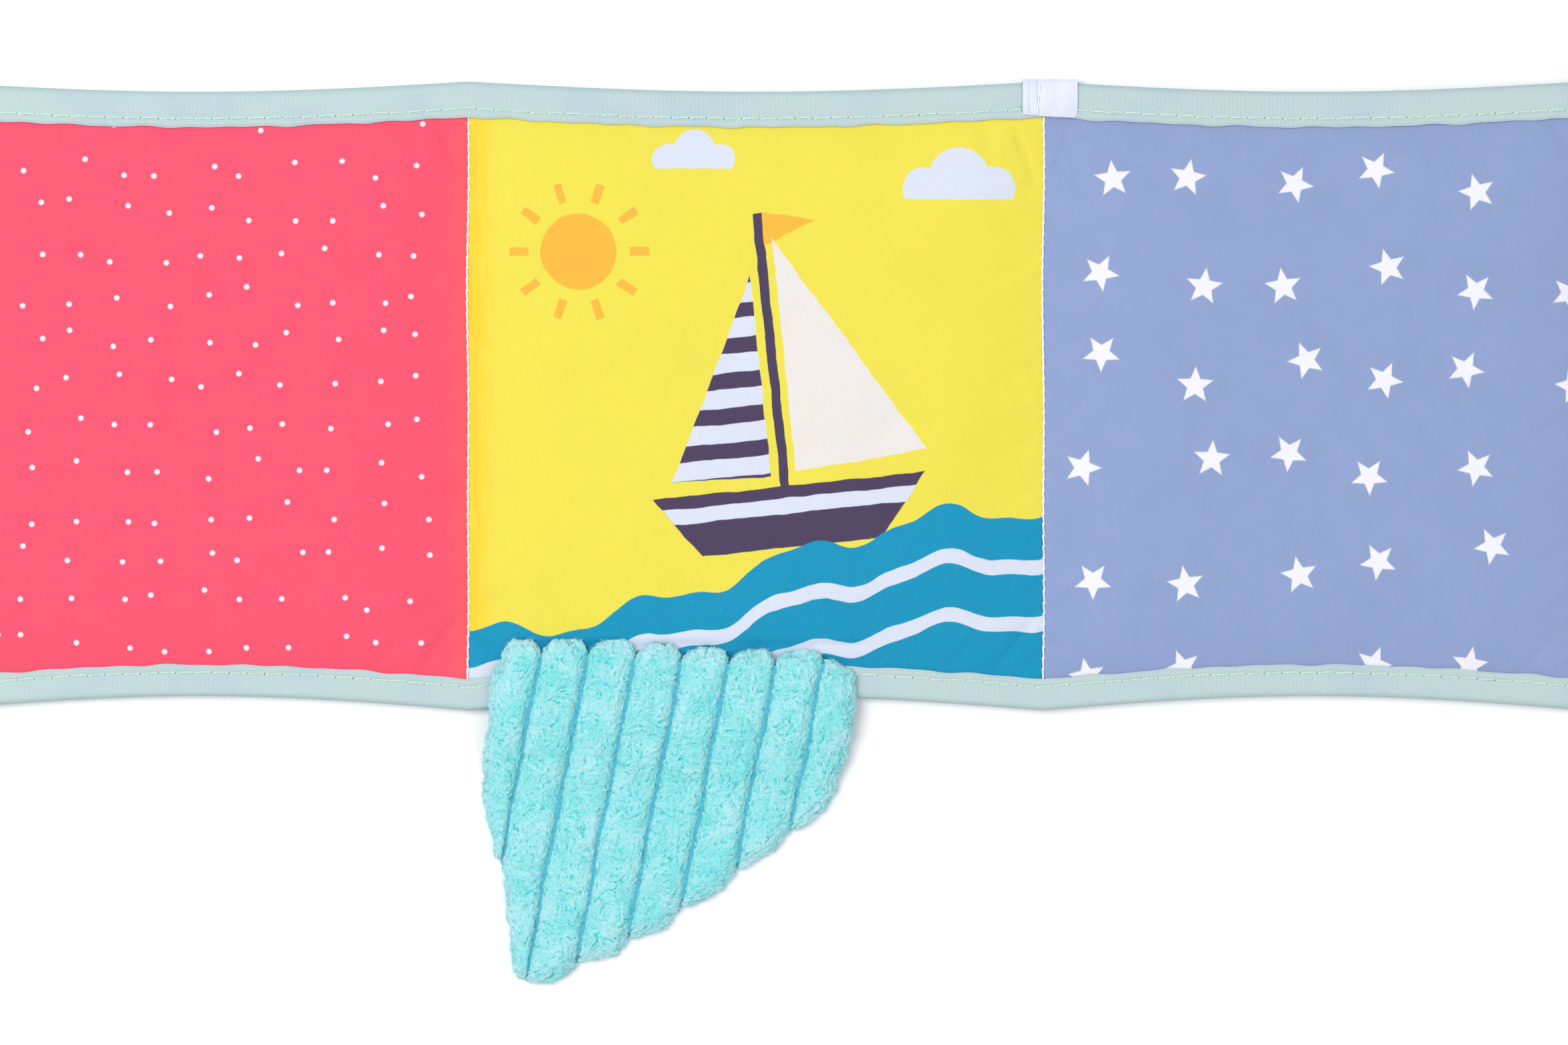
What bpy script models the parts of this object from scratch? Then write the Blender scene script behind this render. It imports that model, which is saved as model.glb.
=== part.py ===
# Crinkle cloth book: three padded cloth pages joined in a strip that folds like a concertina.
# Metres, +Z up. X runs along the strip, Y runs up the page and Z points out of its front.
# The origin is the middle of the flat on which the middle page rests.

import math

import bmesh
import bpy
from mathutils import Matrix, Vector

# The strip of pages
PAGE_PITCH = 0.160          # one fold seam to the next
PAGE_HEIGHT = 0.175         # top edge to bottom edge, at a fold seam
TOP_DRAW = 0.0028           # how far the stitching draws the top edge in, at mid page
BOTTOM_DRAW = 0.0040        # the same, at the bottom edge
CLEARANCE = 0.0003          # between pieces that touch

# The cloth shells and what fills them
CLOTH = 0.0005
FRONT_CROWN = 0.00265       # rise of the front cloth above its border
BACK_CROWN = 0.00215        # rise of the back cloth, before the page lies down on it
REST_CUT = 0.0005           # how much of the back crown is pressed flat by the table
FOLD_REACH = 0.026          # from a fold seam to the full thickness
EDGE_REACH = 0.016          # from a bound edge to the full thickness
FILM = 0.0003

# The binding tape
TAPE = 0.0006
TOP_TAPE_WIDTH = 0.0100
BOTTOM_TAPE_WIDTH = 0.0088
END_TAPE_WIDTH = 0.0100

# The satin tab, caught in the right fold and folded over the top binding
TAB = 0.0004
TAB_WIDTH = 0.0152
TAB_DROP = 0.0102
TAB_BEFORE_FOLD = 0.0058    # how much of its width lies on the middle page

# The plush flap, sewn to the front of the middle page along its upper edge
FLAP_FROM_FOLD = 0.0065     # left fold to the flap's upper left corner
SEAM_FROM_BINDING = 0.0072  # bottom binding up to the sewn line, which is the flap's hinge
FLAP_LENGTH = 0.0920        # seam to the tip of the longest wale
WALE_PITCH = 0.0130
WALE_LEAN_SHARE = 0.19      # sideways travel of a wale for its length
LEFT_EDGE_LEAN_SHARE = 0.25 # the same, of the left edge measured from the wales
WALE_LENGTH_SHARES = (1.0, 0.985, 1.0, 0.92, 0.85, 0.76, 0.63, 0.51)
TIP_ROUND = 0.0050
FLAP_GROUND = 0.0014        # ground knit, all that a groove has
FLAP_PILE = 0.0046          # pile above the ground on the crest of a wale
SEAM_PINCH_REACH = 0.025    # from the seam, which flattens the pile, to the full pile
EDGE_PINCH_SHARE = 0.45     # of the pile's height left at the tips
EDGE_PINCH_REACH = 0.006
CORNER_LENGTH = 0.004       # shortest wale, at the upper left corner
PAST_EDGE = 0.0005          # how far past the page's edge the flap stays level
DRAPE_RUN = 0.0255          # from there to where it lies on the table
LINING = 0.0005
HINGE_RISE = 0.00045        # of the flap's hinge line above its lining

# How finely the soft forms are cut, as shares of the sizes that they follow
RISE_SHARES = (0.0, 0.20, 0.46, 0.73, 1.0)
MIDDLE_SHARES = (0.175, 0.375, 0.625, 0.825)
ROW_SHARES = (0.33, 0.78)
PAD_START_SHARE = 0.46      # where in the rise the film and wadding start
CREST_SHARES = (0.0, 0.12, 0.35, 0.65, 0.88, 1.0)
WALE_ROW_SHARES = (0.0, 0.05, 0.10, 0.16, 0.23, 0.32, 0.44, 0.60, 0.78, 0.91, 0.97, 1.0)
END_TAPE_SHARES = (0.33, 0.67)

# Heights and places that follow from the sizes above
BORDER_HALF = CLEARANCE / 2 + CLOTH
MID_Z = BORDER_HALF + BACK_CROWN - REST_CUT
TAPE_HALF = BORDER_HALF + CLEARANCE + TAPE
TAB_HALF = TAPE_HALF + CLEARANCE + TAB
FLAP_LIE = MID_Z + TAPE_HALF + CLEARANCE
RIGHT_FOLD_Z = MID_Z + TAPE_HALF
LEFT_FOLD_Z = MID_Z - TAPE_HALF
FLAP_HINGE_Z = FLAP_LIE + LINING + CLEARANCE + HINGE_RISE
FLAP_LEFT = FLAP_FROM_FOLD - PAGE_PITCH / 2
FLAP_SEAM_Y = BOTTOM_TAPE_WIDTH + SEAM_FROM_BINDING - PAGE_HEIGHT / 2
DRAPE_START = SEAM_FROM_BINDING + BOTTOM_TAPE_WIDTH + PAST_EDGE


class Page:
    """One page: where it lies in the strip, and whether each side is a fold or a bound end."""

    def __init__(self, name, centre_x, left, right):
        self.name = name
        self.left = left
        self.right = right
        self.left_x = centre_x - PAGE_PITCH / 2
        self.right_x = centre_x + PAGE_PITCH / 2


def linear(red, green, blue):
    """Turns the colour that is seen, 0 to 255, into the linear one that a material takes."""
    return tuple((part / 255) ** 2.2 for part in (red, green, blue)) + (1.0,)


def make_material(name, colour, roughness):
    material = bpy.data.materials.new(name)
    material.use_nodes = True
    shader = material.node_tree.nodes["Principled BSDF"]
    shader.inputs["Base Color"].default_value = colour
    shader.inputs["Roughness"].default_value = roughness
    shader.inputs["Metallic"].default_value = 0.0
    return material


def add_object(name, verts, faces, material, hinge=None):
    """Makes one closed body. On a moving page or flap it hangs from the empty on its hinge."""
    mesh = bpy.data.meshes.new(name)
    mesh.from_pydata(verts, [], faces)
    shape = bmesh.new()
    shape.from_mesh(mesh)
    bmesh.ops.recalc_face_normals(shape, faces=shape.faces)
    shape.to_mesh(mesh)
    shape.free()
    mesh.materials.append(material)
    piece = bpy.data.objects.new(name, mesh)
    bpy.context.scene.collection.objects.link(piece)
    if hinge:
        piece.parent = hinge
        piece.matrix_parent_inverse = hinge.matrix_world.inverted()
    return piece


def add_hinge(name, point):
    hinge = bpy.data.objects.new(name, None)
    bpy.context.scene.collection.objects.link(hinge)
    hinge.matrix_world = Matrix.Translation(Vector(point))
    return hinge


def slab(name, columns, material, hinge=None):
    """A closed sheet from columns of (x, y, low z, high z). Every layer splits its cells alike."""
    wide, tall = len(columns), len(columns[0])
    verts = [(x, y, low) for column in columns for x, y, low, high in column]
    verts += [(x, y, high) for column in columns for x, y, low, high in column]
    above = wide * tall

    def at(i, j):
        return i * tall + j

    faces = []
    for i in range(wide - 1):
        for j in range(tall - 1):
            a, b, c, d = at(i, j), at(i + 1, j), at(i + 1, j + 1), at(i, j + 1)
            faces += [(a, c, b), (a, d, c)]
            faces += [(a + above, b + above, c + above), (a + above, c + above, d + above)]
    rim = [at(i, 0) for i in range(wide)] + [at(wide - 1, j) for j in range(1, tall)]
    rim += [at(i, tall - 1) for i in range(wide - 2, -1, -1)] + [at(0, j) for j in range(tall - 2, 0, -1)]
    for a, b in zip(rim, rim[1:] + rim[:1]):
        faces += [(a, b, b + above), (a, b + above, a + above)]
    return add_object(name, verts, faces, material, hinge)


def loft(name, rings, material, hinge=None):
    """A closed body through rings of equal count, with a flat cap at each end."""
    count = len(rings[0])
    verts = [point for ring in rings for point in ring]
    faces = [tuple(range(count)), tuple(range(len(verts) - count, len(verts)))]
    for start in range(0, len(verts) - count, count):
        for k in range(count):
            after = (k + 1) % count
            faces.append((start + k, start + after, start + count + after, start + count + k))
    return add_object(name, verts, faces, material, hinge)


def rise(share):
    """How full the padding is: nothing at a seam, all of it at its reach."""
    return math.sin(math.pi / 2 * share)


def blend(share):
    """An even slope that starts and ends flat."""
    share = min(max(share, 0.0), 1.0)
    return (1 - math.cos(math.pi * share)) / 2


def side_stations(kind, tape_width):
    """Distances in from one side of a page, each with the fullness there."""
    if kind == "fold":
        return [(CLEARANCE / 2 + share * FOLD_REACH, rise(share)) for share in RISE_SHARES]
    border = [(TAPE + CLEARANCE, 0.0)]
    return border + [(tape_width + share * EDGE_REACH, rise(share)) for share in RISE_SHARES]


def page_stations(page):
    """Places along X, from left to right, with the fullness at each."""
    left = [(page.left_x + far, full) for far, full in side_stations(page.left, END_TAPE_WIDTH)]
    right = [(page.right_x - far, full) for far, full in side_stations(page.right, END_TAPE_WIDTH)]
    start, end = left[-1][0], right[-1][0]
    middle = [(start + share * (end - start), 1.0) for share in MIDDLE_SHARES]
    return left + middle + right[::-1]


def drawn_edge(page, x, side):
    """Y of the page's outer edge: side 1 is the top and -1 the bottom."""
    left = page.left_x + (END_TAPE_WIDTH if page.left == "bound" else 0)
    right = page.right_x - (END_TAPE_WIDTH if page.right == "bound" else 0)
    across = min(max((x - left) / (right - left), 0.0), 1.0)
    draw = TOP_DRAW if side > 0 else BOTTOM_DRAW
    return side * (PAGE_HEIGHT / 2 - draw * math.sin(math.pi * across))


def page_grid(page):
    """Columns of (x, y, fullness) over the whole page, which all its layers share."""
    grid = []
    for x, full_x in page_stations(page):
        low, high = drawn_edge(page, x, -1), drawn_edge(page, x, 1)
        below = [(low + far, full) for far, full in side_stations("bound", BOTTOM_TAPE_WIDTH)]
        over = [(high - far, full) for far, full in side_stations("bound", TOP_TAPE_WIDTH)]
        start, end = below[-1][0], over[-1][0]
        middle = [(start + share * (end - start), 1.0) for share in ROW_SHARES]
        grid.append([(x, y, full_x * full_y) for y, full_y in below + middle + over[::-1]])
    return grid


def pad_grid(page):
    """The part of the page's grid that the film and the wadding fill, clear of every seam."""
    border = len(side_stations("bound", END_TAPE_WIDTH)) - len(RISE_SHARES)
    skipped = len([share for share in RISE_SHARES if share < PAD_START_SHARE])
    left = skipped + (border if page.left == "bound" else 0)
    right = skipped + (border if page.right == "bound" else 0)
    rows = skipped + border
    grid = page_grid(page)
    return [column[rows:len(column) - rows] for column in grid[left:len(grid) - right]]


def front_top(full):
    return MID_Z + BORDER_HALF + FRONT_CROWN * full


def back_bottom(full):
    return max(0.0, MID_Z - BORDER_HALF - BACK_CROWN * full)


def front_layer(grid, depth, thickness):
    """A layer that lies at a depth below the front of the page."""
    return [[(x, y, front_top(full) - depth - thickness, front_top(full) - depth)
             for x, y, full in column] for column in grid]


def back_layer(grid):
    return [[(x, y, back_bottom(full), back_bottom(full) + CLOTH)
             for x, y, full in column] for column in grid]


def wadding_layer(grid):
    """Fills the page between the film and the back cloth."""
    above = CLOTH + CLEARANCE + FILM + CLEARANCE
    return [[(x, y, back_bottom(full) + CLOTH + CLEARANCE, front_top(full) - above)
             for x, y, full in column] for column in grid]


def tape_outline(width, half, thickness):
    """A tape folded round an edge, as (distance in from the edge, height from the page's middle)."""
    inner = half - thickness
    return [(width, inner), (width, half), (thickness, half), (0, inner), (0, -inner),
            (thickness, -half), (width, -half), (width, -inner), (thickness, -inner), (thickness, inner)]


def long_tape(page, side, width):
    """The binding along the top or bottom edge, mitred where it meets an end binding."""
    outline = tape_outline(width, TAPE_HALF, TAPE)
    stations = [x for x, full in page_stations(page)]
    skipped = len(side_stations("bound", width)) - len(RISE_SHARES) + 1
    if page.left == "bound":
        stations = stations[skipped:]
    if page.right == "bound":
        stations = stations[:-skipped]
    rings = [[(x, drawn_edge(page, x, side) - side * far, MID_Z + z) for far, z in outline]
             for x in stations]
    edge = side * PAGE_HEIGHT / 2
    if page.left == "bound":
        end = page.left_x + CLEARANCE
        rings.insert(0, [(end + far, edge - side * far, MID_Z + z) for far, z in outline])
    if page.right == "bound":
        end = page.right_x - CLEARANCE
        rings.append([(end - far, edge - side * far, MID_Z + z) for far, z in outline])
    return rings


def end_tape(page):
    """The binding along the free end of an outer page, mitred at both corners."""
    outline = tape_outline(END_TAPE_WIDTH, TAPE_HALF, TAPE)
    if page.left == "bound":
        edge, inward = page.left_x, 1
    else:
        edge, inward = page.right_x, -1
    corner = PAGE_HEIGHT / 2 - CLEARANCE
    rings = [[(edge + inward * far, far - corner, MID_Z + z) for far, z in outline]]
    for share in END_TAPE_SHARES:
        y = PAGE_HEIGHT * (share - 1 / 2)
        rings.append([(edge + inward * far, y, MID_Z + z) for far, z in outline])
    rings.append([(edge + inward * far, corner - far, MID_Z + z) for far, z in outline])
    return rings


def make_page(page, looks, hinge=None):
    grid, pad = page_grid(page), pad_grid(page)
    film_depth = CLOTH + CLEARANCE
    slab(page.name + "_front_cloth", front_layer(grid, 0, CLOTH), looks[page.name], hinge)
    slab(page.name + "_crinkle_film", front_layer(pad, film_depth, FILM), looks["film"], hinge)
    slab(page.name + "_wadding", wadding_layer(pad), looks["wadding"], hinge)
    slab(page.name + "_back_cloth", back_layer(grid), looks[page.name], hinge)
    loft(page.name + "_top_binding", long_tape(page, 1, TOP_TAPE_WIDTH), looks["binding"], hinge)
    loft(page.name + "_bottom_binding", long_tape(page, -1, BOTTOM_TAPE_WIDTH), looks["binding"], hinge)
    if "bound" in (page.left, page.right):
        loft(page.name + "_end_binding", end_tape(page), looks["binding"], hinge)


def make_tab(page, looks):
    """The satin tab lies round the top binding and across the right fold."""
    outline = tape_outline(TAB_DROP, TAB_HALF, TAB)
    edge = PAGE_HEIGHT / 2 + CLEARANCE + TAB
    start = page.right_x - TAB_BEFORE_FOLD
    stations = (start, page.right_x, start + TAB_WIDTH)
    rings = [[(x, edge - far, MID_Z + z) for far, z in outline] for x in stations]
    loft("satin_tab", rings, looks["tab"])


def crest(share):
    """Round top of a wale across its width."""
    return math.sqrt(1 - (2 * share - 1) ** 2)


def wale_tip(k):
    return WALE_LENGTH_SHARES[k] * FLAP_LENGTH


def column_length(k, share):
    """How far from the seam the flap reaches at a place across wale k, with a round tip."""
    tip = wale_tip(k)
    if share == 0 and k > 0:
        tip = min(tip, wale_tip(k - 1))
    if share == 1 and k + 1 < len(WALE_LENGTH_SHARES):
        tip = min(tip, wale_tip(k + 1))
    from_left = (k + share) * WALE_PITCH
    left_cut = CORNER_LENGTH + from_left / LEFT_EDGE_LEAN_SHARE
    return min(tip - TIP_ROUND * (1 - crest(share)), left_cut)


def underside(far):
    """Height of the flap's lining: over the page's edge, then down to the table."""
    return FLAP_LIE * (1 - blend((far - DRAPE_START) / DRAPE_RUN))


def pile_share(far, length):
    """How much of the pile's height stands at a distance from the seam."""
    tip = EDGE_PINCH_SHARE + (1 - EDGE_PINCH_SHARE) * rise(min((length - far) / EDGE_PINCH_REACH, 1.0))
    return min(blend(far / SEAM_PINCH_REACH), tip)


def flap_point(across, far):
    """Plan position of a place on the flap: across it, and far down its leaning wales."""
    return FLAP_LEFT + across - WALE_LEAN_SHARE * far, FLAP_SEAM_Y - far


def flap_columns(heights):
    """Columns of the flap, wale by wale, each from its tip up to the seam."""
    columns = []
    for k in range(len(WALE_LENGTH_SHARES)):
        for share in CREST_SHARES if k == 0 else CREST_SHARES[1:]:
            length = column_length(k, share)
            column = []
            for row in WALE_ROW_SHARES[::-1]:
                far = CLEARANCE + row * (length - CLEARANCE)
                x, y = flap_point((k + share) * WALE_PITCH, far)
                column.append((x, y) + heights(far, length, share))
            columns.append(column)
    return columns


def lining_heights(far, length, share):
    return underside(far), underside(far) + LINING


def plush_heights(far, length, share):
    low = underside(far) + LINING + CLEARANCE
    return low, low + FLAP_GROUND + (FLAP_PILE * crest(share) * pile_share(far, length))


def make_flap(looks, hinge):
    slab("flap_lining", flap_columns(lining_heights), looks["lining"], hinge)
    slab("flap_plush", flap_columns(plush_heights), looks["plush"], hinge)


def make_looks():
    return {
        "middle_page": make_material("yellow_cloth", linear(246, 232, 86), 0.75),
        "left_page": make_material("pink_cloth", linear(251, 97, 116), 0.75),
        "right_page": make_material("lavender_cloth", linear(148, 167, 210), 0.75),
        "film": make_material("crinkle_film", linear(225, 228, 232), 0.25),
        "wadding": make_material("wadding", linear(240, 240, 238), 0.95),
        "binding": make_material("mint_tape", linear(196, 216, 218), 0.70),
        "tab": make_material("white_satin", linear(229, 234, 250), 0.35),
        "plush": make_material("turquoise_plush", linear(128, 222, 227), 0.95),
        "lining": make_material("turquoise_lining", linear(96, 196, 206), 0.80),
    }


def main():
    for old in list(bpy.data.objects):
        bpy.data.objects.remove(old)
    middle = Page("middle_page", 0, "fold", "fold")
    left = Page("left_page", -PAGE_PITCH, "bound", "fold")
    right = Page("right_page", PAGE_PITCH, "fold", "bound")
    looks = make_looks()
    left_fold = add_hinge("left_fold_axis", (middle.left_x, 0, LEFT_FOLD_Z))
    right_fold = add_hinge("right_fold_axis", (middle.right_x, 0, RIGHT_FOLD_Z))
    flap_seam = add_hinge("flap_seam_axis", (0, FLAP_SEAM_Y, FLAP_HINGE_Z))
    make_page(middle, looks)
    make_page(left, looks, left_fold)
    make_page(right, looks, right_fold)
    make_tab(middle, looks)
    make_flap(looks, flap_seam)


main()
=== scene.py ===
import math

import bpy
import numpy as np
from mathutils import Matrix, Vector


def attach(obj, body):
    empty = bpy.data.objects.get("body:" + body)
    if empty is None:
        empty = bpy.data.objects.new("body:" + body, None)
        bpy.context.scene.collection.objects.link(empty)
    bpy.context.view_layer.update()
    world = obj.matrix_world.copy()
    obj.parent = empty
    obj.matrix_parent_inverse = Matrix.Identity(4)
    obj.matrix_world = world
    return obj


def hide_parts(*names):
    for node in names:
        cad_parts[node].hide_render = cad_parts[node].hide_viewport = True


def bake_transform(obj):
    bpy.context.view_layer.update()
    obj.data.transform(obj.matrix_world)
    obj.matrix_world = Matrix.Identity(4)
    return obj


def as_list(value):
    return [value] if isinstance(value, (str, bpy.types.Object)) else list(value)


# Crinkle cloth book, dressed: padded printed pages, mint binding, satin tab and a wide-wale plush flap.
# Metres throughout. X runs along the strip, Y up the page, Z out of its front.
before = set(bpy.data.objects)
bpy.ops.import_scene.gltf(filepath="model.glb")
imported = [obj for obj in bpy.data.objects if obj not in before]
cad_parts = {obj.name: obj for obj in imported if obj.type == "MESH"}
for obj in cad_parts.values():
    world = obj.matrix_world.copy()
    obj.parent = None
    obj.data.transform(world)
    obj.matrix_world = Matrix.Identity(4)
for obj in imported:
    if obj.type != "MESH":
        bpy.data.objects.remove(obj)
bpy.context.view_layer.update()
millimetre = 0.001

strip = {
    "pagePitch": 0.160,         # one fold seam to the next
    "pageHeight": 0.175,
    "topDraw": 0.0028,          # how far the top edge is drawn in at mid page
    "bottomDraw": 0.0040,
    "middleHeight": 0.0023,     # height of the pages' middle layer above the table
    "foldZone": 0.0040,         # cloth this near a fold is made as pieces of their own across it
}
leftFoldX = -strip["pagePitch"] / 2
rightFoldX = strip["pagePitch"] / 2
endX = strip["pagePitch"] * 1.5
pages = {
    "left_page": {"span": (-endX, leftFoldX), "bound": (True, False), "slot": "pink_cloth"},
    "middle_page": {"span": (leftFoldX, rightFoldX), "bound": (False, False), "slot": "yellow_cloth"},
    "right_page": {"span": (rightFoldX, endX), "bound": (False, True), "slot": "lavender_cloth"},
}
foldSides = {"left_fold": ("left_page", "middle_page"), "right_fold": ("middle_page", "right_page")}
foldNames = {bodies: name for name, bodies in foldSides.items()}


def foldPlace(bodies):
    return pages[bodies[1]]["span"][0]


def follow(piece, slotName, *bodies):
    # Rides on one body; between two bodies it is only fixed in place and does not bend across the fold. The
    # slot name is not used
    if len(bodies) == 1:
        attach(piece, bodies[0])
    else:
        place, zone = foldPlace(bodies), strip["foldZone"]
        place - zone
        place + zone
        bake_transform(piece)


def cutBack(page, atBound, atFold):
    # A page's span, cut back at its bound end and at its folds
    (left, right), (leftBound, rightBound) = page["span"], page["bound"]
    return left + (atBound if leftBound else atFold), right - (atBound if rightBound else atFold)


def seenColour(red, green, blue):
    parts = [part / 255 for part in (red, green, blue)]
    return tuple(p / 12.92 if p <= 0.04045 else ((p + 0.055) / 1.055) ** 2.4 for p in parts) + (1.0,)


# Nodes

class Wire:
    # One output of a node; sums on it add Math nodes
    def __init__(self, tree, socket):
        self.tree = tree
        self.socket = socket

    def maths(self, operation, other=None, third=None, clamp=False):
        values = {place: value for place, value in enumerate((self, other, third)) if value is not None}
        return add(self.tree, "ShaderNodeMath", {"operation": operation, "use_clamp": clamp}, values)

    def __add__(self, other):
        return self.maths("ADD", other)

    def __sub__(self, other):
        return self.maths("SUBTRACT", other)

    def __mul__(self, other):
        return self.maths("MULTIPLY", other)

    def __truediv__(self, other):
        return self.maths("DIVIDE", other)

    def __rsub__(self, other):
        return add(self.tree, "ShaderNodeMath", {"operation": "SUBTRACT"}, {0: other, 1: self})

    def __rtruediv__(self, other):
        return add(self.tree, "ShaderNodeMath", {"operation": "DIVIDE"}, {0: other, 1: self})

    def __neg__(self):
        return self * -1.0

    def __abs__(self):
        return self.maths("ABSOLUTE")

    __radd__ = __add__
    __rmul__ = __mul__

    def power(self, other):
        return self.maths("POWER", other)

    def sine(self):
        return self.maths("SINE")

    def clamped(self):
        return self.maths("ADD", 0.0, clamp=True)


def lower(first, second):
    return first.maths("MINIMUM", second)


def higher(first, second):
    return first.maths("MAXIMUM", second)


def add(tree, kind, settings=None, values=None, output=0):
    # Adds one node: its settings first, then the values or links of its sockets
    node = tree.nodes.new(kind)
    for key, value in (settings or {}).items():
        if key == "stops":
            while len(node.color_ramp.elements) < len(value):
                node.color_ramp.elements.new(0.5)
            for element, (place, colour) in zip(node.color_ramp.elements, value):
                element.position = place
                element.color = colour
        else:
            setattr(node, key, value)
    for key, value in (values or {}).items():
        if isinstance(value, Wire):
            tree.links.new(value.socket, node.inputs[key])
        else:
            node.inputs[key].default_value = value
    if output is None:
        return node
    return Wire(tree, node.outputs[output])


class Finish:
    # A material: its tree, its Principled shader and the sums that feed it
    def __init__(self, name, roughness=0.75, sheen=0.0, specular=0.3):
        self.material = bpy.data.materials.new(name)
        self.material.use_nodes = True
        self.tree = self.material.node_tree
        self.shader = self.tree.nodes["Principled BSDF"]
        self.shader.inputs["Roughness"].default_value = roughness
        self.shader.inputs["Sheen Weight"].default_value = sheen
        self.shader.inputs["Sheen Roughness"].default_value = 0.5
        self.shader.inputs["Specular IOR Level"].default_value = specular

    def add(self, kind, settings=None, values=None, output=0):
        return add(self.tree, kind, settings, values, output)

    def set(self, socket, value):
        self.tree.links.new(value.socket, self.shader.inputs[socket])

    def parts(self, value, kind="ShaderNodeSeparateXYZ"):
        # The three parts of a vector or a colour
        split = self.add(kind, None, {0: value}, None)
        return [Wire(self.tree, output) for output in split.outputs]

    def plan(self):
        # The piece's own map, in millimetres
        u, v, _ = self.parts(self.add("ShaderNodeUVMap", {"uv_map": "clothPlan"}))
        return u * 1000.0, v * 1000.0

    def place(self):
        return self.add("ShaderNodeTexCoord", None, None, "Object")

    def vector(self, x, y, z=0.0):
        return self.add("ShaderNodeCombineXYZ", None, {0: x, 1: y, 2: z})

    def noise(self, where, scale, detail=2.0, roughness=0.5, output=0):
        return self.add("ShaderNodeTexNoise", None,
                        {"Vector": where, "Scale": scale, "Detail": detail, "Roughness": roughness}, output)

    def mix(self, share, first, second, blend="MIX"):
        settings = {"data_type": "RGBA", "blend_type": blend}
        return self.add("ShaderNodeMix", settings, {0: share, 6: first, 7: second}, 2)

    def slope(self, value, start, end, low=0.0, high=1.0):
        settings = {"interpolation_type": "SMOOTHSTEP"}
        return self.add("ShaderNodeMapRange", settings, {0: value, 1: start, 2: end, 3: low, 4: high})

    def bump(self, height, distance, strength=1.0):
        values = {"Height": height, "Distance": distance, "Strength": strength}
        self.set("Normal", self.add("ShaderNodeBump", None, values, "Normal"))


# Meshes

def makePiece(name, verts, faces, uvs, materials, materialOf=None, sharpAngle=55):
    mesh = bpy.data.meshes.new(name)
    mesh.from_pydata([tuple(v) for v in verts], [], faces)
    if uvs is not None:
        layer = mesh.uv_layers.new(name="clothPlan")
        loopVerts = np.zeros(len(mesh.loops), int)
        mesh.loops.foreach_get("vertex_index", loopVerts)
        layer.uv.foreach_set("vector", np.asarray(uvs, np.float32)[loopVerts].ravel())
    for material in materials:
        mesh.materials.append(material)
    if materialOf is not None:
        mesh.polygons.foreach_set("material_index", np.asarray(materialOf, np.int32))
    mesh.shade_smooth()
    mesh.set_sharp_from_angle(angle=math.radians(sharpAngle))
    piece = bpy.data.objects.new(name, mesh)
    bpy.context.scene.collection.objects.link(piece)
    return piece


def closedSheet(front, back):
    # Faces of a closed body between two grids of points; returns verts, faces and the count of front faces
    wide, tall = front.shape[:2]
    verts = np.concatenate([front.reshape(-1, 3), back.reshape(-1, 3)])
    index = np.arange(wide * tall).reshape(wide, tall)
    a, b, c, d = index[:-1, :-1], index[1:, :-1], index[1:, 1:], index[:-1, 1:]
    top = np.stack([a, b, c, d], -1).reshape(-1, 4)
    below = top[:, ::-1] + wide * tall
    rim = np.concatenate([index[:, 0], index[-1, 1:], index[-2::-1, -1], index[0, -2:0:-1]])
    after = np.roll(rim, -1)
    sides = np.stack([rim + wide * tall, after + wide * tall, after, rim], -1)
    return verts, np.concatenate([top, below, sides]).tolist(), len(top)


def sweep(rings, uvs):
    # A closed body through rings of equal count, with a flat cap at each end
    count, many = len(rings[0]), len(rings)
    verts = np.concatenate(rings)
    faces = []
    for start in range(0, (many - 1) * count, count):
        for k in range(count):
            after = (k + 1) % count
            faces.append((start + k, start + count + k, start + count + after, start + after))
    faces.append(tuple(range(count)))
    faces.append(tuple(range(many * count - 1, (many - 1) * count - 1, -1)))
    return verts, faces, np.concatenate(uvs)


def ripple(along, lengths, seed):
    # A wandering wave of about -1 to 1, the same each run
    dice = np.random.default_rng(seed)
    total = np.zeros_like(np.asarray(along, float))
    for length in lengths:
        total = total + np.sin(2 * math.pi * along / length + dice.uniform(0, 2 * math.pi))
    return total / len(lengths)


def smooth(share):
    share = np.clip(share, 0, 1)
    return share * share * (3 - 2 * share)


# Cloth finishes

print("finishes")
printColours = {
    "yellow": seenColour(236, 223, 78),
    # painted reflection: warm light bounced from the pink page onto the yellow beside the left fold
    "paintedPinkBounce": seenColour(251, 206, 44),
    "pink": seenColour(248, 81, 109),
    # painted reflection: warm light bounced from the yellow page onto the pink beside the left fold
    "paintedYellowBounce": seenColour(249, 92, 92),
    "lavender": seenColour(140, 159, 202),
    "teal": seenColour(0, 147, 188),
    "pale": seenColour(216, 223, 240),
    "cream": seenColour(233, 228, 224),
    "aubergine": seenColour(74, 60, 92),
    "orange": seenColour(253, 184, 62),
    "white": seenColour(240, 240, 248),
    "coolLavender": seenColour(128, 166, 216),
    "warmLavender": seenColour(166, 160, 204),
    "deepPink": seenColour(232, 60, 104),
    "palePink": seenColour(252, 112, 128),
    "deepTeal": seenColour(6, 126, 172),
    "paleTeal": seenColour(24, 166, 202),
}
weave = {"pitch": 0.42, "depth": 0.00005, "blotch": 0.08, "turnSize": 0.02}


def inside(distance, softness=0.22):
    # 1 inside a printed shape, 0 outside, over a short soft edge in millimetres
    return (0.5 - distance / softness).clamped()


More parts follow.
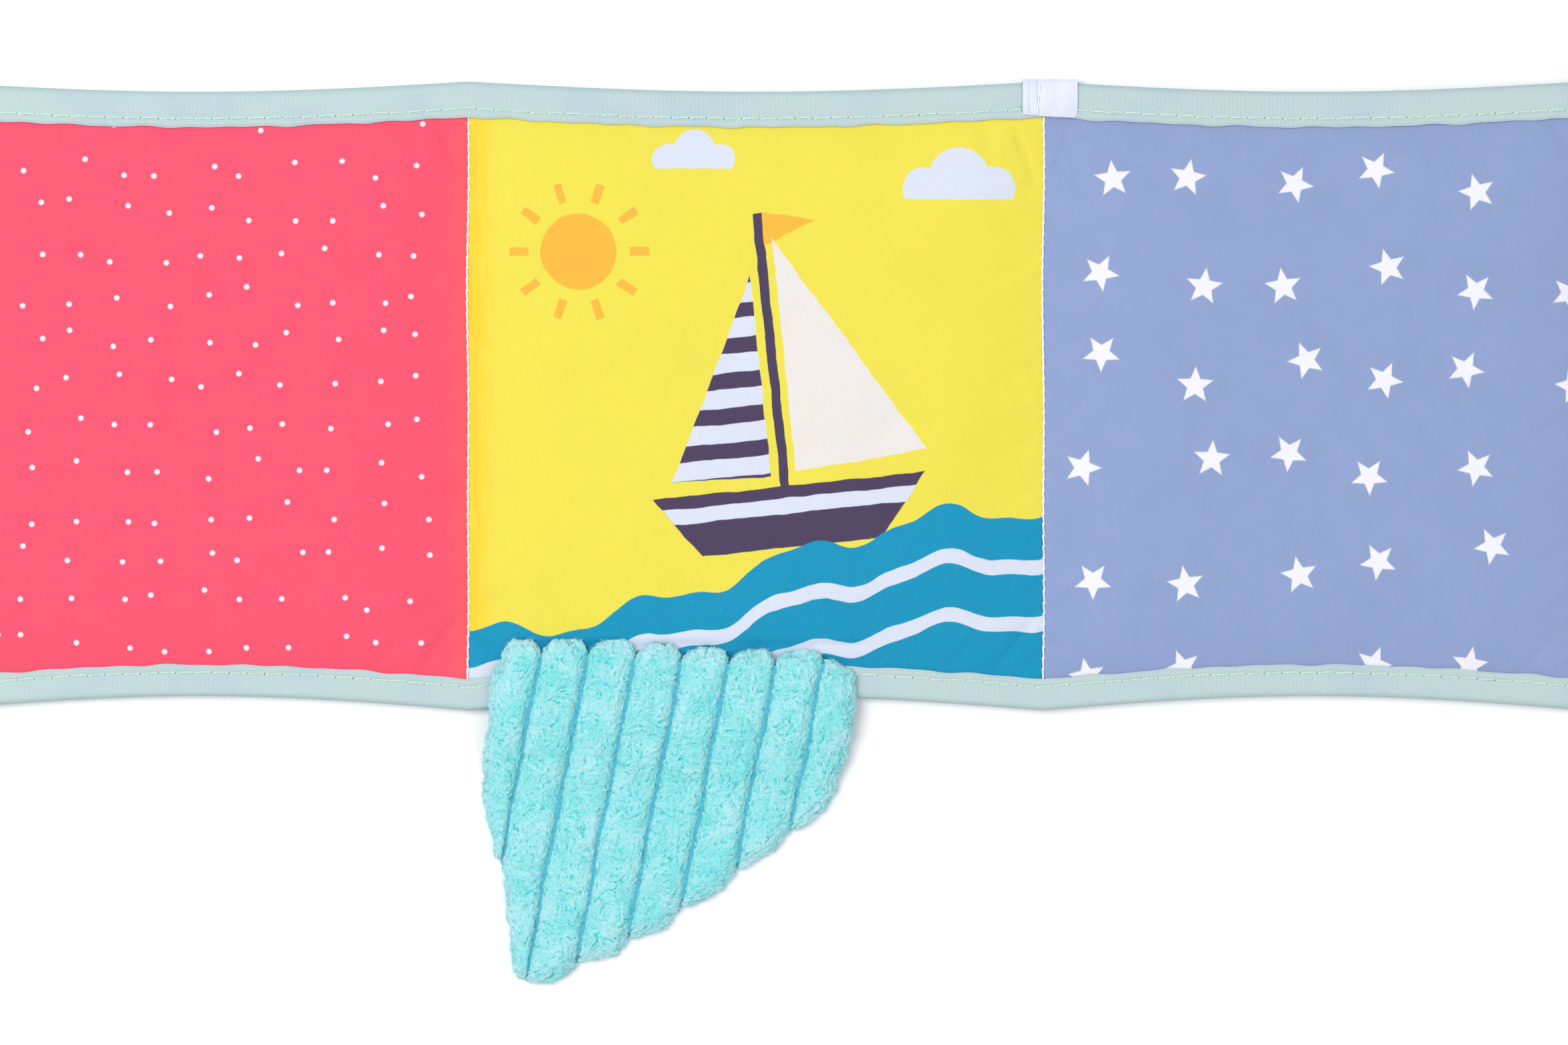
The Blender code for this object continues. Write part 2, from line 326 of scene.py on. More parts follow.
def twoTone(finish, u, v, ground, cool, warm, strength):
    # Twill lines of two tones that swim in and out of sight, as fine print on a weave does
    where = finish.vector(u, v)
    side = finish.slope(finish.noise(where, weave["turnSize"] * 2, 1.0), 0.46, 0.54)
    fine = finish.noise(where, 2.4, 2.0)
    rise = ((u * 0.72 + v * 0.69 + fine * 0.25) * (2 * math.pi / 0.56)).sine()
    fall = ((u * 0.76 - v * 0.65 + fine * 0.25) * (2 * math.pi / 0.50)).sine()
    line = rise * side + fall * (1.0 - side) + (fine - 0.5) * 2.4
    seen = finish.slope(finish.noise(where, 0.12, 2.0), 0.34, 0.62, 0.35, 1.0) * strength
    toned = finish.mix(finish.slope(line, 0.0, 1.2) * seen, ground, cool)
    return finish.mix(finish.slope(line, 0.0, -1.2) * seen, toned, warm)


def wovenCloth(finish, u, v, colour, shade=1.0):
    # Twill bump, small blotches and pale fibre ends on any printed colour
    where = finish.vector(u, v)
    blotch = finish.noise(where, 0.045, 3.0)
    fibre = finish.noise(where, 4.5, 2.0)
    wander = finish.noise(where, 0.6, 1.0) * 0.9
    ribs = ((u * 0.83 + v * 0.56 + wander * 0.3) * (2 * math.pi / weave["pitch"])).sine()
    crossing = ((u * -0.56 + v * 0.83) * (2 * math.pi / (weave["pitch"] * 1.35))).sine()
    height = ribs * 0.6 + crossing * 0.25 + fibre * 0.7
    dark = finish.mix(1.0, colour, seenColour(206, 206, 214), "MULTIPLY")
    shaded = finish.mix(finish.slope(blotch, 0.42, 0.75, 0.0, weave["blotch"]), colour, dark)
    thread = finish.mix(finish.slope(ribs * 0.5 + fibre, 0.15, 1.1, 0.0, 0.16), shaded, dark)
    speck = finish.slope(finish.noise(where, 1.7, 0.0), 0.80, 0.86)
    finish.set("Base Color", finish.mix(speck * 0.10, thread, printColours["white"]))
    finish.set("Roughness", 0.70 + fibre * 0.16)
    finish.bump(height, weave["depth"] * shade)


def plainCloth(name, colour):
    finish = Finish(name, sheen=0.12)
    u, v = finish.plan()
    wovenCloth(finish, u, v, colour)
    return finish.material


dots = {
    "pitch": 12.0, "radius": 0.72, "scatter": 0.55, "softness": 0.4,
    "clear": 4.5,               # none this near the fold
}


def dottedCloth():
    finish = Finish("pinkDottedCloth", sheen=0.12)
    u, v = finish.plan()
    values = {"Vector": finish.vector(u, v), "Scale": 1 / dots["pitch"], "Randomness": dots["scatter"]}
    cells = finish.add("ShaderNodeTexVoronoi", {"voronoi_dimensions": "2D"}, values, "Distance")
    dot = inside(cells * dots["pitch"] - dots["radius"], dots["softness"])
    dot = dot * inside(u - leftFoldX * 1000 + dots["clear"], dots["softness"])
    # Painted reflection: the yellow page's bounced light, painted onto the pink in streaks beside the left
    # fold
    streak = finish.noise(finish.vector(u * 0.5, v * 0.08), 1.0, 2.0)
    yellowBounceShare = finish.slope(u + streak * 6.0, leftFoldX * 1000 - 5.0, leftFoldX * 1000 + 4.0, 0.0, 0.85)
    ground = finish.mix(yellowBounceShare, printColours["pink"], printColours["paintedYellowBounce"])
    ground = twoTone(finish, u, v, ground, printColours["palePink"], printColours["deepPink"], 0.45)
    wovenCloth(finish, u, v, finish.mix(dot, ground, printColours["white"]))
    return finish.material


stars = {"pitch": 27.0, "tip": 5.2, "waist": 2.3, "shiftU": 7.5, "shiftV": 1.0,
         "scatter": 0.42, "softness": 0.35}


def starredCloth():
    finish = Finish("lavenderStarredCloth", sheen=0.12)
    u, v = finish.plan()
    cells = finish.add("ShaderNodeTexVoronoi", {"voronoi_dimensions": "2D"},
                       {"Vector": finish.vector(u - stars["shiftU"], v - stars["shiftV"]),
                        "Scale": 1 / stars["pitch"], "Randomness": stars["scatter"]}, None)
    centreX, centreY, _ = finish.parts(Wire(finish.tree, cells.outputs["Position"]))
    turn = finish.add("ShaderNodeSeparateColor", None, {0: Wire(finish.tree, cells.outputs["Color"])})
    across = u - stars["shiftU"] - centreX
    up = v - stars["shiftV"] - centreY
    reach = (across * across + up * up).power(0.5)
    angle = up.maths("ARCTAN2", across) + turn * 6.283
    step = 2 * math.pi / 5
    folded = abs(angle.maths("FLOORED_MODULO", step) - step / 2)      # 0 at a waist, half a step at a tip
    fromTip = step / 2 - folded
    tip, waist = stars["tip"], stars["waist"]
    edge = Vector((waist * math.cos(step / 2) - tip, waist * math.sin(step / 2))).normalized()
    distance = (reach * fromTip.maths("COSINE") - tip) * -edge.y * -1.0 + reach * fromTip.sine() * -edge.x
    star = inside(distance, stars["softness"])
    ground = twoTone(finish, u, v, printColours["lavender"], printColours["coolLavender"],
                     printColours["warmLavender"], 0.85)
    wovenCloth(finish, u, v, finish.mix(star, ground, printColours["white"]))
    return finish.material


boat = {
    "place": (10.0, -42.0), "tilt": math.radians(6.0),
    "hull": [(-37, 17), (-25, 0), (25, 0), (39, 17)],
    "band": [(-34.6, 13.6), (-31.6, 9.4), (32.8, 9.4), (36.2, 13.6)],
    "mast": [(-1.3, 16), (1.3, 16), (1.3, 93), (-1.3, 93)],
    "mainSail": [(3.4, 21), (40, 23), (3.4, 86)],
    "headSail": [(-3.6, 76), (-31, 21), (-3.6, 20)],
    "pennant": [(1.2, 93), (1.2, 84), (16, 89.5)],
    "stripePitch": 9.6, "stripeWidth": 4.4,
}
sky = {"sun": (-49.0, 40.0), "sunRadius": 10.5, "rays": (14.0, 19.5),
       "clouds": [((47.0, 57.0, 6.4), (56.5, 60.5, 8.4), (66.0, 57.5, 6.2)),
                  ((-24.0, 65.5, 4.6), (-17.0, 68.0, 6.0), (-10.0, 65.6, 4.4))]}
# Height at the left, climb to the right and size of each rolling line
swells = {"wave": 41.0, "chop": 17.5, "chopShare": 0.3, "water": (-66.0, 34.0, 2.6),
          "crests": ((-78.0, 32.0, 2.2), (-92.0, 30.0, 2.0)), "crestHalf": 2.1}


def printedCloth():
    # The printed page: a sailing boat on a swell, in flat hand-cut shapes
    finish = Finish("yellowPrintedCloth", sheen=0.12)
    u, v = finish.plan()
    where = finish.vector(u, v)
    wobble = finish.noise(where, 0.11, 2.0, output="Color")
    shiftX, shiftY, _ = finish.parts(wobble, "ShaderNodeSeparateColor")
    x = u + (shiftX - 0.5) * 1.5
    y = v + (shiftY - 0.5) * 1.5
    spot = finish.vector(x, y)
    cos, sin = math.cos(boat["tilt"]), math.sin(boat["tilt"])
    boatX, boatY = boat["place"]

    def shape(points):
        # Distance to a convex outline of the boat's, given either way round; below 0 inside
        turned = [(boatX + px * cos - py * sin, boatY + px * sin + py * cos) for px, py in points]
        middle = Vector((sum(p[0] for p in turned), sum(p[1] for p in turned))) / len(turned)
        distance = None
        for first, second in zip(turned, turned[1:] + turned[:1]):
            along = Vector(second) - Vector(first)
            normal = Vector((along.y, -along.x)).normalized()
            if (middle - Vector(first)).dot(normal) > 0:
                normal = -normal
            side = finish.add("ShaderNodeVectorMath", {"operation": "DOT_PRODUCT"},
                              {0: spot, 1: (normal.x, normal.y, 0)}, "Value") - normal.dot(Vector(first))
            distance = side if distance is None else higher(distance, side)
        return distance

    def disc(cx, cy, radius):
        return ((x - cx) * (x - cx) + (y - cy) * (y - cy)).power(0.5) - radius

    def swell(low, lift, size):
        # Height of a rolling water line at x
        climb = finish.slope(x, -75.0, 70.0, 0.0, lift)
        rolling = low + climb + (x * (2 * math.pi / swells["wave"])).sine() * size
        return rolling + (x * (2 * math.pi / swells["chop"]) + 1.1).sine() * size * swells["chopShare"]

    # Painted reflection: the pink page's bounced light, painted onto the yellow in streaks beside the left
    # fold
    streak = finish.noise(finish.vector(u * 0.55, v * 0.07), 1.0, 2.0)
    pinkBounceShare = finish.slope(u - streak * 9.0, leftFoldX * 1000 + 5.0, leftFoldX * 1000 - 5.5, 0.0, 0.95)
    colour = finish.mix(pinkBounceShare, printColours["yellow"], printColours["paintedPinkBounce"])
    cx, cy = sky["sun"]
    sunDistance = disc(cx, cy, 0.0)
    angle = (y - cy).maths("ARCTAN2", x - cx)
    spoke = abs((angle * 5.0).sine()) * sunDistance * (1 / 5.0) - 1.15
    rays = higher(spoke, higher(sky["rays"][0] - sunDistance, sunDistance - sky["rays"][1]))
    colour = finish.mix(inside(lower(sunDistance - sky["sunRadius"], rays)), colour, printColours["orange"])
    for cloud in sky["clouds"]:
        distance = None
        for puff in cloud:
            distance = disc(*puff) if distance is None else lower(distance, disc(*puff))
        distance = higher(distance, (cloud[0][1] - 2.6) - y)
        colour = finish.mix(inside(distance), colour, printColours["pale"])
    headSail = shape(boat["headSail"])
    upSail = y * cos - x * sin
    stripePitch = boat["stripePitch"]
    stripe = abs((upSail / stripePitch).maths("FRACT") - 0.5) * stripePitch - boat["stripeWidth"] / 2
    colour = finish.mix(inside(shape(boat["mast"])), colour, printColours["aubergine"])
    colour = finish.mix(inside(shape(boat["pennant"])), colour, printColours["orange"])
    colour = finish.mix(inside(shape(boat["mainSail"])), colour, printColours["cream"])
    colour = finish.mix(inside(headSail), colour, printColours["pale"])
    colour = finish.mix(inside(higher(headSail, stripe)), colour, printColours["aubergine"])
    colour = finish.mix(inside(shape(boat["hull"])), colour, printColours["aubergine"])
    colour = finish.mix(inside(shape(boat["band"])), colour, printColours["pale"])
    water = y - swell(*swells["water"])
    sea = twoTone(finish, u, v, printColours["teal"], printColours["paleTeal"], printColours["deepTeal"], 0.6)
    colour = finish.mix(inside(water), colour, sea)
    for crest in swells["crests"]:
        line = abs(y - swell(*crest)) - swells["crestHalf"]
        colour = finish.mix(inside(line), colour, printColours["pale"])
    wovenCloth(finish, u, v, colour)
    return finish.material


# edge is the darker tone along the ribs, and also painted shade where the tape turns over the page's edge
tapeLook = {"rib": 0.37, "front": seenColour(197, 217, 218), "edge": seenColour(172, 198, 200),
            "tint": seenColour(190, 212, 222)}


def ribbedTape():
    finish = Finish("mintRibbedTape", roughness=0.7, sheen=0.1)
    along, across = finish.plan()
    where = finish.vector(along, across)
    fibre = finish.noise(where, 2.6, 2.0)
    rib = ((along + fibre * 0.08) * (2 * math.pi / tapeLook["rib"])).sine()
    pick = (across * (2 * math.pi / 0.55)).sine()
    patch = finish.noise(where, 0.05, 2.0)
    colour = finish.mix(finish.slope(patch, 0.45, 0.7), tapeLook["front"], tapeLook["tint"])
    # Painted shade: darker towards the tape's outer edge, where it rolls over away from the light
    paintedTurnShade = finish.slope(abs(across), 2.2, 0.0)
    colour = finish.mix(paintedTurnShade * 0.75, colour, tapeLook["edge"])
    colour = finish.mix(finish.slope(rib + fibre * 0.6, -0.2, 1.2, 0.0, 0.34), colour, tapeLook["edge"])
    finish.set("Base Color", colour)
    finish.set("Roughness", 0.62 + fibre * 0.2)
    finish.bump(rib * 0.7 + pick * 0.2 + fibre * 0.4, 0.00007)
    return finish.material


def satin():
    finish = Finish("whiteSatin", roughness=0.38, sheen=0.1, specular=0.5)
    along, across = finish.plan()
    where = finish.vector(along, across)
    fine = finish.noise(finish.vector(along * 1.0, across * 6.0), 1.4, 2.0)
    soft = finish.noise(where, 0.12, 2.0)
    colour = finish.mix(finish.slope(soft, 0.35, 0.7), seenColour(220, 225, 245), seenColour(210, 215, 239))
    finish.set("Base Color", colour)
    finish.set("Roughness", 0.32 + fine * 0.15)
    finish.bump(fine + ((along * 6.283 / 0.3).sine()) * 0.12, 0.00002)
    return finish.material


def thread(name, colour, shadow):
    finish = Finish(name, roughness=0.55, sheen=0.2)
    where = finish.place()
    ply = finish.noise(where, 2600.0, 2.0)
    finish.set("Base Color", finish.mix(finish.slope(ply, 0.4, 0.75), colour, shadow))
    finish.set("Roughness", 0.5 + ply * 0.2)
    finish.bump(ply, 0.00006)
    return finish.material


def paintedHoleShade():
    # Painted shade: the dark inside of a needle hole
    finish = Finish("needleHoleShade", roughness=0.9)
    where = finish.place()
    grain = finish.noise(where, 3000.0, 1.0)
    finish.set("Base Color", finish.mix(grain, seenColour(84, 112, 84), seenColour(120, 140, 112)))
    finish.set("Roughness", 0.8 + grain * 0.15)
    finish.bump(grain, 0.00003)
    return finish.material


# Pile colours: creaseShade is painted shade in the creases, body the pile's own colour, tip the paler colour
# of painted highlight and of random patches
pileLook = {"creaseShade": seenColour(60, 200, 203), "body": seenColour(126, 217, 219),
            "tip": seenColour(178, 225, 232)}


def plushPile():
    # Painted highlight, paler at the tip of each tuft, on raised pile and along the flap's edges; painted
    # shade, deeper where the pile parts
    finish = Finish("turquoisePile", roughness=0.95, sheen=0.35, specular=0.15)
    where = finish.place()
    tip = finish.add("ShaderNodeAttribute", {"attribute_name": "tuftTip"}, None, "Fac")
    shade = finish.add("ShaderNodeAttribute", {"attribute_name": "tuftShade"}, None, "Fac")
    patch = finish.noise(where, 120.0, 3.0)
    colour = finish.mix(finish.slope(tip, 0.12, 0.56), pileLook["creaseShade"], pileLook["body"])
    paleness = finish.slope(tip * 0.45 + patch * 0.9 + shade * 0.45, 0.62, 1.30)
    colour = finish.mix(paleness, colour, pileLook["tip"])
    finish.set("Base Color", colour)
    finish.set("Roughness", 0.9 + patch * 0.1)
    finish.bump(finish.noise(where, 2600.0, 1.0), 0.00008)
    return finish.material


def groundKnit():
    finish = Finish("turquoiseGroundKnit", roughness=0.85, sheen=0.1, specular=0.2)
    where = finish.place()
    x, y, _ = finish.parts(where)
    x, y = x * 1000.0, y * 1000.0
    loop = ((x + y * 0.195) * (2 * math.pi / 0.6)).sine() * ((y - x * 0.195) * (2 * math.pi / 0.48)).sine()
    fuzz = finish.noise(where, 900.0, 2.0)
    finish.set("Base Color", finish.mix(finish.slope(loop + fuzz, 0.0, 1.2), seenColour(70, 200, 232),
                                        seenColour(140, 236, 250)))
    finish.set("Roughness", 0.8 + fuzz * 0.15)
    finish.bump(loop, 0.0001)
    return finish.material


def liningCloth():
    finish = Finish("turquoiseLining", roughness=0.8, sheen=0.15)
    u, v = finish.plan()
    wovenCloth(finish, u, v, seenColour(96, 196, 206))
    return finish.material


looks = {
    "left_page": (dottedCloth(), plainCloth("pinkPlainCloth", printColours["pink"])),
    "middle_page": (printedCloth(), plainCloth("yellowPlainCloth", printColours["yellow"])),
    "right_page": (starredCloth(), plainCloth("lavenderPlainCloth", printColours["lavender"])),
}
tapeFinish = ribbedTape()
satinFinish = satin()
foldThread = thread("whiteThread", seenColour(246, 244, 246), seenColour(222, 220, 228))
bindingThread = thread("paleGreenThread", seenColour(214, 238, 222), seenColour(170, 208, 184))
holeShadeFinish = paintedHoleShade()
pileFinish = plushPile()
knitFinish = groundKnit()
liningFinish = liningCloth()


# Page pads

pad = {
    "border": 0.00065,          # half thickness of the flat border, all that is left at a seam
    "leastHalf": 0.0002,
    "frontCrown": 0.00265,
    "backCrown": 0.00215,
    "foldReach": 0.026,         # from a fold to the full thickness
    "edgeReach": 0.016,         # from a bound edge to the full thickness
    "tapeWidths": (0.0088, 0.0100, 0.0100),   # bottom, top and end
    "tuckedIn": 0.0009,         # the border's edge from the tape's outer edge
    "cell": 0.0010,             # fine grid
    "coarse": 3,                # fine cells to one of the cloth simulation
    "pucker": 0.00038,          # height of the gathers beside the seams
    "foldGathers": (0.0035, 0.0085),          # where they start and how far they run, at a fold
    "edgeGathers": (0.003, 0.0075),           # the same at the top and bottom edges
    "pressure": 0.5,
    "frames": 20,
    "looseFromFold": 0.012,     # the cloth moves freely this far from a fold
    "looseHeight": 0.0008,      # and this high above the border
    "movementCap": 0.0012,
    "underFlap": 0.00405,       # highest that the page's front may be where the flap lies on it
    "flapCorner": (0.034, -0.0665),           # right end and top of the part that the flap lies on
    "coveredCorner": (0.030, -0.0685),        # the same of the part that is held down in full
    # From the page's left fold: start x, y, end x, y, depth and width
    "creases": [
        (0.1515, 0.0765, 0.1580, 0.0590, 2.2, 0.0013), (0.1420, 0.0770, 0.1470, 0.0640, 1.3, 0.0016),
        (0.1470, -0.0760, 0.1585, -0.0600, 2.0, 0.0014), (0.1330, -0.0770, 0.1420, -0.0660, 1.2, 0.0018),
        (0.0015, 0.0590, 0.0085, 0.0760, 1.8, 0.0013), (0.0004, -0.0665, 0.0088, -0.0722, 2.7, 0.0012),
        (0.0006, -0.0565, 0.0075, -0.0630, 1.7, 0.0014), (0.0020, 0.0100, 0.0110, 0.0200, 1.0, 0.0018),
        (0.1490, 0.0060, 0.1585, -0.0060, 1.0, 0.0020),
    ],
}


def edgeAt(x, side):
    # Height up the strip of its top or bottom edge, which is drawn in along each page
    draw = 0.0
    for page in pages.values():
        left, right = cutBack(page, pad["tapeWidths"][2], 0.0)
        draw = draw + np.sin(math.pi * np.clip((x - left) / (right - left), 0, 1))
    return side * (strip["pageHeight"] / 2 - (strip["topDraw"] if side > 0 else strip["bottomDraw"]) * draw)


def padSurfaces(page, x, y):
    # Heights of the front and back cloth at rest
    left, right = page["span"]
    bottomTape, topTape, endTape = pad["tapeWidths"]

    def fullFrom(distance, reach):
        return np.sin(math.pi / 2 * np.clip(distance / reach, 0, 1))

    fromLeft = (x - left - endTape, pad["edgeReach"]) if page["bound"][0] else (x - left, pad["foldReach"])
    fromRight = (right - endTape - x, pad["edgeReach"]) if page["bound"][1] else (right - x, pad["foldReach"])
    high, low = edgeAt(x, 1), edgeAt(x, -1)
    fromTop, fromBottom = high - topTape - y, y - low - bottomTape
    full = (fullFrom(*fromLeft) * fullFrom(*fromRight)
            * fullFrom(fromTop, pad["edgeReach"]) * fullFrom(fromBottom, pad["edgeReach"]))
    gathers = np.zeros_like(full)
    start, reach = pad["foldGathers"]
    for seed, (distance, _) in enumerate((fromLeft, fromRight)):
        lean = y + (distance * 0.5 if seed else -distance * 0.35)
        wave = ripple(lean, (0.0071, 0.0103, 0.0166), 11 + seed)
        gathers += wave * smooth(distance / start) * np.exp(-np.clip(distance, 0, 1) / reach)
    start, reach = pad["edgeGathers"]
    for seed, distance in enumerate((fromTop, fromBottom)):
        wave = ripple(x + distance * 0.3, (0.0083, 0.0127, 0.0195), 21 + seed)
        gathers += wave * smooth(distance / start) * np.exp(-np.clip(distance, 0, 1) / reach) * 0.8
    folds = ripple(x * 0.6 + y, (0.031, 0.047), 31) * ripple(x - y * 0.4, (0.052, 0.083), 32) * 0.5
    gathers = gathers + folds * smooth(full)
    for startX, startY, stopX, stopY, depth, width in pad["creases"]:
        # Soft diagonal creases that run out of the corners
        dx, dy = stopX - startX, stopY - startY
        share = ((x - left - startX) * dx + (y - startY) * dy) / (dx * dx + dy * dy)
        off = np.hypot(x - left - startX - np.clip(share, 0, 1) * dx, y - startY - np.clip(share, 0, 1) * dy)
        gathers = gathers - depth * np.exp(-(off / width) ** 2) * smooth(1 - np.abs(share - 0.45) / 0.75)
    middle, border = strip["middleHeight"], pad["border"]
    front = middle + border + pad["frontCrown"] * full + pad["pucker"] * gathers * smooth(full * 6)
    front = np.maximum(front, middle + pad["leastHalf"])
    back = middle - border - pad["backCrown"] * full
    flapRight, flapTop = pad["flapCorner"]
    flapShare = smooth((flapTop - y) / 0.002) * smooth((flapRight - x) / 0.004)
    if page["span"] == pages["middle_page"]["span"]:
        front = np.where(flapShare > 0, np.minimum(front, pad["underFlap"] + (1 - flapShare) * 0.003), front)
    return front, np.maximum(back, 0.0)


def padGrid(columns):
    # Plan points of the cloth at these places along the strip
    rows = 3 * round(strip["pageHeight"] / pad["cell"] / 3) + 1
    share = np.linspace(0, 1, rows)
    low = edgeAt(columns, -1) + pad["tuckedIn"]
    high = edgeAt(columns, 1) - pad["tuckedIn"]
    x = np.repeat(columns[:, None], rows, 1)
    y = low[:, None] + (high - low)[:, None] * share[None, :]
    return x, y


def relaxed(name, front, back, loose):
    # Cloth simulation of the closed pad at ten times its size; returns how far each point moves
    size = 10.0
    verts, faces, _ = closedSheet(front * size, back * size)
    mesh = bpy.data.meshes.new(name + "Sim")
    mesh.from_pydata([tuple(v) for v in verts], [], faces)
    sim = bpy.data.objects.new(name + "Sim", mesh)
    bpy.context.scene.collection.objects.link(sim)
    held = sim.vertex_groups.new(name="held")
    weights = 1 - np.concatenate([loose.ravel(), loose.ravel()])
    for index in np.nonzero(weights > 0)[0]:
        held.add([int(index)], float(weights[index]), "REPLACE")
    cloth = sim.modifiers.new("padCloth", "CLOTH")
    settings = cloth.settings
    settings.quality = 5
    settings.mass = 0.3
    settings.tension_stiffness = 12
    settings.compression_stiffness = 12
    settings.shear_stiffness = 4
    settings.bending_stiffness = 0.3
    settings.use_pressure = True
    settings.uniform_pressure_force = pad["pressure"]
    settings.shrink_min = -0.0004
    settings.vertex_group_mass = "held"
    settings.effector_weights.gravity = 0
    scene = bpy.context.scene
    cloth.point_cache.frame_start, cloth.point_cache.frame_end = 1, pad["frames"]
    for number in range(1, pad["frames"] + 1):
        scene.frame_set(number)
    done = sim.evaluated_get(bpy.context.evaluated_depsgraph_get())
    moved = np.zeros(len(verts) * 3)
    done.data.vertices.foreach_get("co", moved)
    step = (moved.reshape(-1, 3) - verts) / size
    bpy.data.objects.remove(sim)
    bpy.data.meshes.remove(mesh)
    scene.frame_set(1)
    size = np.linalg.norm(step, axis=1, keepdims=True)
    cap = pad["movementCap"]
    print("  ", name, "moved at most", round(float(size.max()) * 1000, 2), "mm")
    step = step * (cap * np.tanh(size / cap) / np.maximum(size, 1e-9))
    half = len(step) // 2
    return step[:half].reshape(front.shape), step[half:].reshape(front.shape)


def spread(coarse, wide, tall):
    # Coarse steps on the fine grid, smoothly between its points
    def along(values, count, axis):
        end = values.shape[axis] - 1
        place = np.linspace(0, end, count)
        low = np.clip(np.floor(place).astype(int), 0, end - 1)
        near = (np.take(values, np.clip(low + k, 0, end), axis) for k in (-1, 0, 1, 2))
        before, first, second, after = near
        t = (place - low).reshape([count if k == axis else 1 for k in range(3)])
        return first + 0.5 * t * (second - before + t * (2 * before - 5 * first + 4 * second - after
                                  + t * (3 * (first - second) + after - before)))
    return along(along(coarse, wide, 0), tall, 1)


def makePad(name):
    page = pages[name]
    start, end = cutBack(page, pad["tuckedIn"], strip["foldZone"])
    x, y = padGrid(np.linspace(start, end, 3 * round((end - start) / pad["cell"] / 3) + 1))
    high, low = padSurfaces(page, x, y)
    front, back = np.stack([x, y, high], -1), np.stack([x, y, low], -1)
    step = pad["coarse"]
    coarseFront, coarseBack = front[::step, ::step], back[::step, ::step]
    fromFold = np.minimum(x[::step, ::step] - start, end - x[::step, ::step])
    rest = strip["middleHeight"] + pad["border"]
    lifted = coarseFront[..., 2] - rest
    loose = smooth(fromFold / pad["looseFromFold"]) * smooth(lifted / pad["looseHeight"])
    frontStep, backStep = relaxed(name, coarseFront, coarseBack, loose)
    front = front + spread(frontStep * loose[..., None], *x.shape)
    back = back + spread(backStep * loose[..., None], *x.shape)
    if name == "middle_page":
        coveredRight, coveredTop = pad["coveredCorner"]
        under = (front[..., 1] < coveredTop) & (front[..., 0] < coveredRight)
        front[..., 2] = np.where(under, np.minimum(front[..., 2], pad["underFlap"]), front[..., 2])
    back[..., 2] = np.maximum(back[..., 2], 0.0)
    verts, faces, frontCount = closedSheet(front, back)
    materialOf = [0] * frontCount + [1] * frontCount + [0] * (len(faces) - 2 * frontCount)
    piece = makePiece(name + "_pad", verts, faces, verts[:, :2], looks[name], materialOf)
    follow(piece, page["slot"], name)
    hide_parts(name + "_front_cloth", name + "_crinkle_film", name + "_wadding", name + "_back_cloth")


print("page pads")
for pageName in pages:
    makePad(pageName)


# Folds between the pages

fold = {"pinch": 0.00018, "pinchReach": 0.0009, "threadWander": 0.00028, "threadFromEdge": 0.0099,
        "threadRise": 0.00022}


def makeFoldCloth(name):
    first, second = foldSides[name]
    place = foldPlace(foldSides[name])
    near = strip["foldZone"] * np.array([0, 0.05, 0.125, 0.225, 0.35, 0.5, 0.675, 0.825, 1])
    grids = []
    for side, columns in ((first, place - near[::-1]), (second, place + near[1:])):
        x, y = padGrid(columns)
        high, low = padSurfaces(pages[side], x, y)
        high = high - fold["pinch"] * np.exp(-((x - place) / fold["pinchReach"]) ** 2)
        grids.append((np.stack([x, y, high], -1), np.stack([x, y, low], -1)))
    front = np.concatenate([grids[0][0], grids[1][0]])
    back = np.concatenate([grids[0][1], grids[1][1]])
    verts, faces, frontCount = closedSheet(front, back)
    centres = np.array([verts[list(face), 0].mean() for face in faces]) > place
    isBack = np.array([0] * frontCount + [1] * frontCount + [0] * (len(faces) - 2 * frontCount))
    piece = makePiece(name + "_cloth", verts, faces, verts[:, :2], looks[first] + looks[second],
                      isBack + 2 * centres)
    follow(piece, pages[second]["slot"], first, second)
    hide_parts(first + "_front_cloth", second + "_front_cloth",
                first + "_back_cloth", second + "_back_cloth")


print("folds")
for foldName in foldSides:
    makeFoldCloth(foldName)


# Binding

tape = {
    "half": 0.00155, "thickness": 0.00055, "stitchFromInner": 0.0023, "stitchDip": 0.00022,
    "lip": 0.00016, "innerWander": 0.00035, "roll": 0.0011, "station": 0.0011, "mitreGap": 0.00004,
    "cornerClear": 0.001,       # the first whole ring of a length from its mitre
    "dipReach": 0.0006, "lipReach": 0.0007, "edgeDrop": 0.0003, "edgeRun": 0.0006, "wanderRun": 0.003,
    "wanderLengths": (0.0171, 0.0253, 0.0112), "rowSeed": 41, "endSeed": 47,
}
tapeRows = {"bottom": (-1, pad["tapeWidths"][0]), "top": (1, pad["tapeWidths"][1])}
endWidth = pad["tapeWidths"][2]


def foldedRing(far, high, low, wall):
    # The closed outline of a cloth folded over an edge: distance in, height and length round it.
    # Its inside stops short of the turn
    within = far > wall * 1.5
    innerFar = np.maximum(far[within], wall)
    innerHigh, innerLow = np.maximum(high[within] - wall, 0), np.minimum(low[within] + wall, 0)
    return (np.concatenate([far, far[-2::-1], innerFar, innerFar[::-1]]),
            np.concatenate([high, low[-2::-1], innerLow, innerHigh[::-1]]),
            np.concatenate([far, -far[-2::-1], -innerFar / 2, innerFar[::-1] / 2]))


